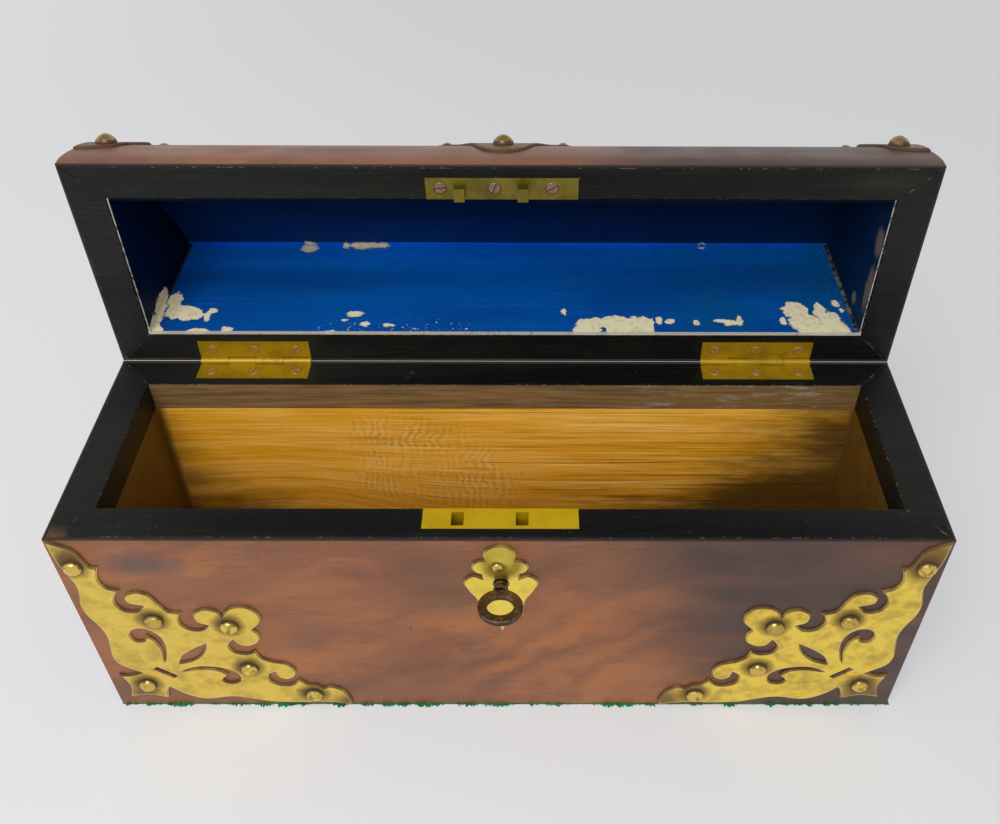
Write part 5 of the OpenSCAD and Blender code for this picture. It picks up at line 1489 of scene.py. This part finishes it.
@dataclass
class Studio:
    """The pale floor, the soft lights and the camera at the photograph's angle."""

    floor_half: float = 4.0
    lens: float = 36.64
    sensor: float = 36.0
    shift_x: float = -0.0395
    shift_y: float = -0.0615
    place: Place = (0.01116, -0.24618, 0.35541)
    yaw: float = math.radians(0.307)
    pitch: float = math.radians(41.02)
    roll: float = math.radians(0.319)
    low_sky: float = 0.75
    high_sky: float = 0.42
    lamp_place: Place = (-0.26, -0.76, 1.15)
    lamp_size: float = 0.9
    lamp_power: float = 13.6

    def build(self) -> None:
        """Makes the floor, the lamp, the world and the camera."""
        self.make_floor()
        self.make_world()
        self.make_lamp("Key light", self.lamp_place, self.lamp_size, self.lamp_power)
        self.make_camera()

    def make_floor(self) -> None:
        """Makes the floor, which isn't part of the object."""
        half = self.floor_half
        mesh = bpy.data.meshes.new("Floor")
        corners = [(-half, -half, 0), (half, -half, 0), (half, half, 0), (-half, half, 0)]
        mesh.from_pydata(corners, [], [(0, 1, 2, 3)])
        floor = bpy.data.objects.new("Floor", mesh)
        bpy.context.scene.collection.objects.link(floor)
        material_on(floor, Paintwork())

    def make_world(self) -> None:
        """Lights the scene from all round, more from the pale walls than from above."""
        world = bpy.data.worlds.new("Studio")
        bpy.context.scene.world = world
        world.use_nodes = True
        g = Graph(world.node_tree)
        back = world.node_tree.nodes["Background"]
        up = g.axes(g.node("ShaderNodeTexCoord").outputs["Generated"])[2]
        g.feed(back.inputs["Strength"], g.ramp(up, 0.2, 1.0, self.low_sky, self.high_sky))
        g.feed(back.inputs["Color"], (0.97, 0.98, 1.0))

    def make_lamp(self, name: str, place: Place, size: float, power: float) -> None:
        """Makes one soft lamp that looks at the box.

        Args:
            name: The lamp's name.
            place: Where it stands.
            size: The side of its square.
            power: Its power in watts.
        """
        lamp = bpy.data.lights.new(name, "AREA")
        lamp.shape = "SQUARE"
        lamp.size = size
        lamp.energy = power
        holder = bpy.data.objects.new(name, lamp)
        bpy.context.scene.collection.objects.link(holder)
        holder.location = place
        aim = Vector((0.0, 0.0, 0.08)) - Vector(place)
        holder.rotation_euler = aim.to_track_quat("-Z", "Y").to_euler()

    def make_camera(self) -> None:
        """Makes the camera and makes it the scene's."""
        camera = bpy.data.cameras.new("Camera")
        camera.sensor_width = self.sensor
        camera.lens = self.lens
        camera.shift_x = self.shift_x
        camera.shift_y = self.shift_y
        camera.clip_start = 0.01
        camera.clip_end = 20.0
        holder = bpy.data.objects.new("Camera", camera)
        bpy.context.scene.collection.objects.link(holder)
        flat = math.cos(self.pitch)
        ahead = Vector((math.sin(self.yaw) * flat, math.cos(self.yaw) * flat, -math.sin(self.pitch)))
        right = Vector((math.cos(self.yaw), -math.sin(self.yaw), 0.0))
        above = right.cross(ahead)
        side = right * math.cos(self.roll) + above * math.sin(self.roll)
        top = above * math.cos(self.roll) - right * math.sin(self.roll)
        turned = Matrix((side, top, -ahead)).transposed().to_4x4()
        holder.matrix_world = Matrix.Translation(self.place) @ turned
        bpy.context.scene.camera = holder
        bpy.context.scene.view_settings.view_transform = "Standard"


@dataclass
class Woodwork:
    """Boards, rims and veneers of the body and the lid."""

    rim_arris: Arris = Arris(width=0.35 * MM)
    veneer_arris: Arris = Arris(width=0.25 * MM)
    sides: tuple[str, ...] = ("front", "back", "left", "right")
    edge_low: float = 98.2 * MM
    lift: float = 0.17 * MM

    def build(self) -> None:
        """Dresses the boards and makes the worn rims and veneers."""
        boards = [f"{side}_board" for side in (*self.sides, "bottom")]
        boards += ["lid_back_board", "lid_left_cheek", "lid_right_cheek", "lid_curved_front"]
        for node in boards:
            dress(node, Birch())
        for side in self.sides:
            self.strip(f"rim_{side}", Body.CASE)
            self.strip(f"lid_rim_{side}", Body.LID)
            self.sheet(f"veneer_{side}", Body.CASE)
        for side in ("top", "back", "left", "right"):
            self.sheet(f"lid_veneer_{side}", Body.LID)
        self.close_gap(bpy.data.objects["veneer_back_worn"])

    def close_gap(self, piece: bpy.types.Object) -> None:
        """Raises the back veneer's top a little, so that less light shows under the open lid."""
        for vertex in piece.data.vertices:
            if vertex.co.z > self.edge_low:
                vertex.co.z += self.lift

    def strip(self, node: str, body: Body) -> None:
        """Makes one black rim strip with rubbed edges."""
        self.rim_arris.round(node, f"{node}_worn", body, Ebony(), Slot.EBONY)

    def sheet(self, node: str, body: Body) -> None:
        """Makes one walnut veneer with rubbed edges."""
        self.veneer_arris.round(node, f"{node}_worn", body, Walnut(), Slot.WALNUT)


@dataclass
class Lining:
    """Blue silk on card in the lid."""

    nodes: tuple[str, ...] = ("lining_vault", "lining_back", "lining_left", "lining_right")

    def build(self) -> None:
        """Dresses the lining pieces."""
        for node in self.nodes:
            dress(node, BlueSilk())


def islands(node: str) -> list[tuple[Vector, Vector, Vector]]:
    """Finds the separate solids of a node.

    Args:
        node: The node's name.

    Returns:
        The lowest corner, highest corner and middle of each solid, from left to right.
    """
    mesh = welded(node)
    left = set(mesh.verts)
    found = []
    while left:
        waiting = [left.pop()]
        members = []
        while waiting:
            vertex = waiting.pop()
            members.append(vertex.co.copy())
            for edge in vertex.link_edges:
                other = edge.other_vert(vertex)
                if other in left:
                    left.remove(other)
                    waiting.append(other)
        low = Vector([min(c[k] for c in members) for k in range(3)])
        high = Vector([max(c[k] for c in members) for k in range(3)])
        found.append((low, high, (low + high) / 2))
    mesh.free()
    return sorted(found, key=lambda s: (round(s[2].x, 4), round(s[2].z, 4)))


def carrier(places: Sequence[Vector], facings: Sequence[Vector], turns: Sequence[float]) -> bpy.types.Mesh:
    """Makes the loose points on which a pattern puts its pieces.

    Args:
        places: The points.
        facings: The way each piece faces.
        turns: The turn of each piece about its own axis.

    Returns:
        The mesh of points.
    """
    mesh = bpy.data.meshes.new("Carrier")
    mesh.from_pydata([tuple(p) for p in places], [], [])
    facing = mesh.attributes.new("facing", "FLOAT_VECTOR", "POINT")
    facing.data.foreach_set("vector", [c for f in facings for c in f])
    turn = mesh.attributes.new("turn", "FLOAT", "POINT")
    turn.data.foreach_set("value", list(turns))
    return mesh


FORWARD = Vector((0.0, -1.0, 0.0))
UPWARD = Vector((0.0, 0.0, 1.0))


@dataclass
class Studs:
    """Domed studs of the mounts on the front and on the lid."""

    sunk: float = 0.3 * MM
    front_face: float = -43.5 * MM
    lid_centre: tuple[float, float] = (32.7 * MM, 109.14 * MM)
    lid_face: float = 77.0 * MM
    lid_radius: float = 3.6 * MM
    lid_height: float = 3.3 * MM
    small_radius: float = 2.2 * MM
    small_height: float = 1.6 * MM

    def build(self) -> None:
        """Makes the front studs, the lid's studs and the pin of the keyhole plate."""
        pattern = stud_pattern()
        self.on_front(pattern, "front_studs", "domed_front_studs", 0.25)
        self.on_front(pattern, "escutcheon_pin", "keyhole_plate_pin", 0.1)
        self.on_lid(pattern, "lid_studs", "domed_lid_studs", self.lid_radius, self.lid_height)
        self.on_lid(pattern, "lid_small_studs", "small_lid_studs", self.small_radius, self.small_height)

    def on_front(self, pattern: Pattern, node: str, name: str, point: float) -> None:
        """Makes the studs of one node on the front.

        Args:
            pattern: The stud tree.
            node: The CAD node whose solids give the places and sizes.
            name: The new piece's name.
            point: How much the tops are drawn up.
        """
        found = islands(node)
        places = [Vector((m.x, self.front_face, m.z)) for _, _, m in found]
        points = carrier(places, [FORWARD] * len(places), [0.0] * len(places))
        low, high, _ = found[0]
        values = {"Radius": (high.x - low.x) / 2, "Height": self.front_face - low.y, "Point": point}
        piece = pattern.make(
            name, points, Sunk=self.sunk, Seed=len(name), Material=StudBrass().material(), **values
        )
        registered(piece, Body.CASE, (node,))

    def on_lid(self, pattern: Pattern, node: str, name: str, radius: float, height: float) -> None:
        """Makes the studs of one node round the lid's curve.

        Args:
            pattern: The stud tree.
            node: The CAD node whose solids give the places.
            name: The new piece's name.
            radius: The studs' radius.
            height: The studs' height.
        """
        middle = Vector((0.0, *self.lid_centre))
        places, facings = [], []
        for _, _, centre in islands(node):
            out = (Vector((0.0, centre.y, centre.z)) - middle).normalized()
            facings.append(out)
            places.append(Vector((centre.x, 0.0, 0.0)) + middle + out * self.lid_face)
        points = carrier(places, facings, [0.0] * len(places))
        metal = StudBrass(
            bright=(0.46, 0.33, 0.12), dull=(0.24, 0.15, 0.06), shade_and_darkening=(0.05, 0.02, 0.013),
            name="Lid stud brass",
        )
        piece = pattern.make(
            name, points, Sunk=self.sunk, Point=0.12, Seed=len(name), Material=metal.material(),
            Radius=radius, Height=height,
        )
        registered(piece, Body.LID, (node,))


@dataclass
class Screws:
    """Slotted screws of the hinges and of the lid's link plate."""

    proud: float = 0.1 * MM
    depth: float = 0.9 * MM
    slot_width: float = 0.45 * MM
    slot_depth: float = 0.5 * MM

    def build(self) -> None:
        """Makes the screws of both hinge leaves and of the link plate."""
        pattern = screw_pattern()
        yellow = ScrewBrass(
            metal=(0.42, 0.245, 0.045), shade_and_darkening=(0.25, 0.135, 0.022), metallic=0.45, name="Yellow screws"
        )
        hinge_turns = (0.4, 1.3, 2.2, 0.9, 2.7, 0.1)
        self.place(pattern, "body_hinge_screws", Body.CASE, UPWARD, hinge_turns, yellow)
        self.place(pattern, "lid_hinge_screws", Body.LID, FORWARD, hinge_turns[::-1], yellow)
        self.place(pattern, "link_screws", Body.LID, FORWARD, (0.15, 1.2, 0.55), ScrewBrass())

    def place(self, pattern, node: str, body: Body, facing: Vector, turns: Sequence[float], finish) -> None:
        """Makes the screws of one node.

        Args:
            pattern: The screw tree.
            node: The CAD node whose solids give the places and sizes.
            body: The body that they ride on.
            facing: The way the heads face.
            turns: The turn of each slot.
            finish: Their finish.
        """
        places = []
        for low, high, middle in islands(node):
            if facing.z > 0:
                places.append(Vector((middle.x, middle.y, high.z)))
            else:
                places.append(Vector((middle.x, low.y, middle.z)))
            radius = (high.x - low.x) / 2
        piece = pattern.make(
            f"{node}_slotted", carrier(places, [facing] * len(places), turns), Radius=radius,
            Depth=self.depth, Proud=self.proud, Slot_Width=self.slot_width, Slot_Depth=self.slot_depth,
            Material=finish.material(),
        )
        registered(piece, body, (node,))


class Wrap(Enum):
    """What a mount lies on."""

    FRONT = "front"
    LID = "lid"


@dataclass(frozen=True)
class Surface:
    """The face that a mount lies on, and how its flat outline goes on to it."""

    wrap: Wrap
    front_y: float = -42.5 * MM
    lid_centre: tuple[float, float] = (32.7 * MM, 109.14 * MM)
    lid_radius: float = 76.0 * MM
    slack: float = 0.07 * MM

    def flat(self, place: Vector) -> Vector:
        """Returns a place as across, along and height above the surface."""
        if self.wrap is Wrap.FRONT:
            return Vector((place.x, place.z, self.front_y - place.y))
        out = Vector((place.y - self.lid_centre[0], place.z - self.lid_centre[1]))
        return Vector((place.x, math.atan2(out.x, out.y) * self.lid_radius, out.length - self.lid_radius))

    def real(self, place: Vector) -> Vector:
        """Returns the real place of a flat one."""
        if self.wrap is Wrap.FRONT:
            return Vector((place.x, self.front_y - place.z, place.y))
        angle = place.y / self.lid_radius
        reach = self.lid_radius + place.z
        back = self.lid_centre[0] + reach * math.sin(angle)
        return Vector((place.x, back, self.lid_centre[1] + reach * math.cos(angle)))

    def is_outer(self, face: bmesh.types.BMFace, thickness: float) -> bool:
        """Tells whether a face lies on the outer side of a sheet of the given thickness."""
        middle = face.calc_center_median()
        above = self.flat(middle).z > thickness - self.slack
        out = self.real(self.flat(middle) + Vector((0.0, 0.0, MM))) - middle
        return above and face.normal.dot(out.normalized()) > 0.9


def loops_of(mesh: bmesh.types.BMesh, outer: set) -> list[list[bmesh.types.BMVert]]:
    """Chains the border of a set of faces into closed loops.

    Args:
        mesh: The mesh.
        outer: The faces whose border is wanted.

    Returns:
        The corners of each loop, in order.
    """
    border = {e for e in mesh.edges if sum(f in outer for f in e.link_faces) == 1}
    loops = []
    while border:
        first = border.pop()
        loop = list(first.verts)
        while True:
            following = next((e for e in loop[-1].link_edges if e in border), None)
            if following is None:
                break
            border.remove(following)
            loop.append(following.other_vert(loop[-1]))
        loops.append(loop[:-1] if loop[-1] is loop[0] else loop)
    return loops


def area(loop: Sequence[Vector]) -> float:
    """Returns the area of a flat loop, positive where it runs anticlockwise."""
    pairs = zip(loop, [*loop[1:], loop[0]])
    return sum(a.x * b.y - a.y * b.x for a, b in pairs) / 2


def thinned(loop: Sequence[Vector], least: float) -> list[Vector]:
    """Returns a loop without corners that stand closer than least to the last one kept."""
    kept = [loop[0]]
    for corner in loop[1:]:
        if (corner - kept[-1]).length > least:
            kept.append(corner)
    if (kept[-1] - kept[0]).length < least:
        kept.pop()
    return kept


def shifted(loop: Sequence[Vector], reach: float, limit: float = 1.7) -> list[Vector]:
    """Moves a flat loop to its left by an even distance.

    Args:
        loop: The loop, with the metal on its left.
        reach: How far it moves.
        limit: The most that a sharp corner may move, as a multiple of reach.

    Returns:
        The moved loop.
    """
    moved = []
    for before, here, after in zip([loop[-1], *loop[:-1]], loop, [*loop[1:], loop[0]]):
        first, second = (here - before).normalized(), (after - here).normalized()
        side = Vector((-first.y - second.y, first.x + second.x))
        half = max(side.length / 2, 1e-3)
        moved.append(here + side.normalized() * min(reach / half, reach * limit))
    return moved


@dataclass
class Mounts:
    """Chamfered brass strapwork on the front and on the lid, and the keyhole plate."""

    chamfer: float = 0.62 * MM
    drop: float = 0.5 * MM
    bright_line: float = 0.20 * MM
    thickness: float = 1.0 * MM
    least_opening: float = 2.2 * MM
    least_step: float = 0.12 * MM
    facet: float = 2.5 * MM
    tips: tuple[tuple[float, float], ...] = ((138.0, 91.0), (58.0, 3.5), (134.0, 9.0))

    def build(self) -> None:
        """Makes the two front mounts, the keyhole plate and the three lid mounts."""
        front, lid = Surface(Wrap.FRONT), Surface(Wrap.LID)
        stud_shadows = self.front_stud_shadows()
        pale, gold = (0.86, 0.62, 0.105), (0.97, 0.71, 0.100)
        sides = (("left", -1.0, 0.42, 5.0, pale), ("right", 1.0, 0.62, 10.0, gold))
        for side, sign, age, spread, tone in sides:
            tips = tuple(Spot((sign * x, -43.0, z), (spread, 5.0, spread)) for x, z in self.tips)
            name = f"Mount brass {side}"
            strap = Brass(bright=tone, stud_shadows=stud_shadows, coppery=tips, age=age, rough=0.36, name=name)
            self.cut(f"front_mount_{side}", Body.CASE, strap, front)
        # painted shadow and soil round the keyhole plate's pin
        pin = Spot((-1.0, -43.0, 85.6), (2.6, 4.0, 2.6))
        plate = Brass(
            bright=(1.0, 0.78, 0.11), dull=(0.80, 0.56, 0.08), stud_shadows=(pin,), age=0.35, rough=0.32,
            name="Keyhole plate brass",
        )
        self.cut("escutcheon", Body.CASE, plate, front)
        lid_brass = Brass(
            bright=(0.26, 0.17, 0.065), dull=(0.15, 0.085, 0.045), brown=(0.07, 0.030, 0.024),
            line=(0.30, 0.20, 0.10), age=0.85, rough=0.45, name="Lid mount brass",
        )
        for side in ("left", "centre", "right"):
            self.cut(f"lid_mount_{side}", Body.LID, lid_brass, lid)

    def front_stud_shadows(self) -> tuple[Spot, ...]:
        """Returns the painted shadow and soil round and above each front stud."""
        spots = []
        for low, high, middle in islands("front_studs"):
            reach = (high.x - low.x) / 2 / MM
            centre = (middle.x / MM - 0.3, -43.0, middle.z / MM + 0.9)
            spots.append(Spot(centre, (reach + 1.5, 5.0, reach + 1.6)))
        return tuple(spots)

    def outlines(self, node: str, surface: Surface) -> list[list[Vector]]:
        """Reads a mount's flat outlines from its node, leaving out the holes that studs cover.

        Args:
            node: The CAD node.
            surface: What the mount lies on.

        Returns:
            The loops, each with the metal on its left.
        """
        mesh = welded(node)
        outer = {f for f in mesh.faces if surface.is_outer(f, self.thickness)}
        loops = []
        for corners in loops_of(mesh, outer):
            flat = [surface.flat(v.co).to_2d() for v in corners]
            loop = thinned(flat, self.least_step)
            wide = max(c.x for c in loop) - min(c.x for c in loop)
            tall = max(c.y for c in loop) - min(c.y for c in loop)
            if max(wide, tall) > self.least_opening:
                loops.append(loop)
        mesh.free()
        loops.sort(key=lambda loop: -abs(area(loop)))
        return [
            loop if (area(loop) > 0) == (rank == 0) else loop[::-1]
            for rank, loop in enumerate(loops)
        ]

    def cut(self, node: str, body: Body, finish: Finish, surface: Surface) -> None:
        """Makes one mount with a chamfer and a thin band along it that carries a painted highlight.

        Args:
            node: The CAD node to copy.
            body: The body that it rides on.
            finish: Its finish.
            surface: What it lies on.
        """
        outline = self.outlines(node, surface)
        shoulder = [shifted(loop, self.chamfer) for loop in outline]
        field = [shifted(loop, self.chamfer + self.bright_line) for loop in outline]
        mesh = bmesh.new()
        edge = mesh.faces.layers.float.new("edge")
        chamfer = mesh.faces.layers.float.new("chamfer")
        low = self.thickness - self.drop
        levels = [(outline, 0.0), (outline, low), (shoulder, self.thickness), (field, self.thickness)]
        rows = [[[mesh.verts.new((*c, z)) for c in loop] for loop in loops] for loops, z in levels]
        for rank, layer in enumerate((chamfer, chamfer, edge)):
            for lower, upper in zip(rows[rank], rows[rank + 1]):
                for k in range(len(lower)):
                    after = (k + 1) % len(lower)
                    face = mesh.faces.new((lower[k], lower[after], upper[after], upper[k]))
                    face[layer] = 1.0 if layer is chamfer else self.edge_highlight(lower[k], upper[k])
        self.cover(mesh, rows[-1], True)
        self.cover(mesh, rows[0], False)
        if surface.wrap is Wrap.LID:
            self.slice(mesh)
        for vertex in mesh.verts:
            vertex.co = surface.real(vertex.co)
        bmesh.ops.recalc_face_normals(mesh, faces=mesh.faces)
        for face in mesh.faces:
            # painted dark reflection on the chamfers, stronger where they look up
            if face[chamfer] > 0.0:
                face[chamfer] = self.chamfer_shade(surface, face.normal)
        piece = settled(mesh, f"{node}_chamfered", body, (node,))
        material_on(piece, finish)

    def chamfer_shade(self, surface: Surface, facing: Vector) -> float:
        """Returns how dark a chamfer is painted: a painted dark reflection on those that look up, and on all
        of the lid's.
        """
        if surface.wrap is Wrap.LID:
            return 0.85
        return min(1.0, max(0.0, 0.48 + 1.1 * facing.z))

    def edge_highlight(self, outer: bmesh.types.BMVert, inner: bmesh.types.BMVert) -> float:
        """Returns how strong the painted highlight along a chamfer is: most where the edge looks down."""
        way = (outer.co - inner.co).to_2d()
        return min(1.0, max(0.0, 0.55 - 0.8 * way.y / max(way.length, 1e-9)))

    def cover(self, mesh: bmesh.types.BMesh, rows: list, upward: bool) -> None:
        """Fills the outlines of one level.

        Args:
            mesh: The mesh to add the faces to.
            rows: The corners of each loop.
            upward: Whether the faces look away from the box.
        """
        corners = [v for row in rows for v in row]
        for found in tessellate_polygon([[v.co for v in row] for row in rows]):
            triangle = [corners[k] for k in found]
            turns_left = area([v.co.to_2d() for v in triangle]) > 0
            mesh.faces.new(triangle if turns_left == upward else triangle[::-1])

    def slice(self, mesh: bmesh.types.BMesh) -> None:
        """Cuts a flat mount along its length, so that it bends evenly."""
        along = [v.co.y for v in mesh.verts]
        cuts = int((max(along) - min(along)) / self.facet)
        for k in range(1, cuts):
            place = (0.0, min(along) + k * self.facet, 0.0)
            whole = [*mesh.verts, *mesh.edges, *mesh.faces]
            bmesh.ops.bisect_plane(mesh, geom=whole, plane_co=place, plane_no=(0.0, 1.0, 0.0))


@dataclass
class Hardware:
    """Hinges, lock, link plate and key."""

    arris: Arris = Arris(width=0.16 * MM)
    key_arris: Arris = Arris(width=0.3 * MM, shortest=0.3 * MM)
    inner_parts: tuple[str, ...] = ("lock_case", "lock_cap", "lock_spring", "lock_screws", "lock_bolt")

    def build(self) -> None:
        """Dresses the leaves, pins, plates and the lock's inside, and makes the key with rounded arrises."""
        leaf = Brass(
            bright=(0.38, 0.235, 0.003), dull=(0.22, 0.13, 0.003), line=(0.55, 0.36, 0.03),
            age=0.45, rough=0.42, metallic=0.45, name="Hinge brass",
        )
        for side in ("left", "right"):
            for place in ("body", "lid"):
                dress(f"hinge_{side}_{place}_leaf", leaf)
            dress(f"hinge_{side}_pin", leaf)
        strip = Brass(
            bright=(0.66, 0.43, 0.002), dull=(0.54, 0.34, 0.002), line=(0.80, 0.58, 0.05),
            age=0.25, rough=0.36, metallic=0.45, name="Lock strip brass",
        )
        dress("lock_plate", strip)
        dull = Brass(
            bright=(0.25, 0.205, 0.036), dull=(0.14, 0.11, 0.024), brown=(0.08, 0.05, 0.02),
            age=0.7, rough=0.45, name="Link plate brass",
        )
        dress("link_plate", dull)
        for node in self.inner_parts:
            dress(node, Brass(age=0.7, rough=0.45, name="Lock brass"))
        dress("lock_drill_pin", KeyIron())
        for node in ("key_shaft", "key_bow"):
            self.key_arris.round(node, f"{node}_rusty", Body.KEY, KeyIron(), Slot.IRON)


@dataclass
class Felt:
    """Baize under the box and the loose fibres of its cut edge."""

    inset: float = 0.2 * MM
    height: float = 0.45 * MM
    fibre: float = 0.7 * MM
    thickness: float = 0.30 * MM
    count: int = 6500
    lowest: float = 0.05 * MM

    def build(self) -> None:
        """Dresses the baize and makes the fringe along its edge."""
        dress("base_baize", Baize())
        low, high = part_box("base_baize")
        left, front = low.x + self.inset, low.y + self.inset
        right, back = high.x - self.inset, high.y - self.inset
        path = bpy.data.meshes.new("Path")
        corners = [(left, front), (right, front), (right, back), (left, back)]
        edges = [(0, 1), (1, 2), (2, 3), (3, 0)]
        path.from_pydata([(x, y, self.height) for x, y in corners], edges, [])
        piece = fringe_pattern().make(
            "baize_fringe", path, Length=self.fibre, Thickness=self.thickness, Count=self.count, Seed=7,
            Material=Baize().material(),
        )
        for vertex in piece.data.vertices:
            vertex.co.z = max(vertex.co.z, self.lowest)
        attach(piece, Body.CASE.value)
        log.info("baize_fringe has %d faces", len(piece.data.polygons))


def main() -> None:
    """Builds the scene, one sub-assembly after another."""
    logging.basicConfig(level=logging.INFO, format="%(name)s: %(message)s")
    for part in (Studio(), Woodwork(), Lining(), Mounts(), Studs(), Screws(), Hardware(), Felt()):
        part.build()
        log.info("%s done", type(part).__name__)


if __name__ == "__main__":
    main()
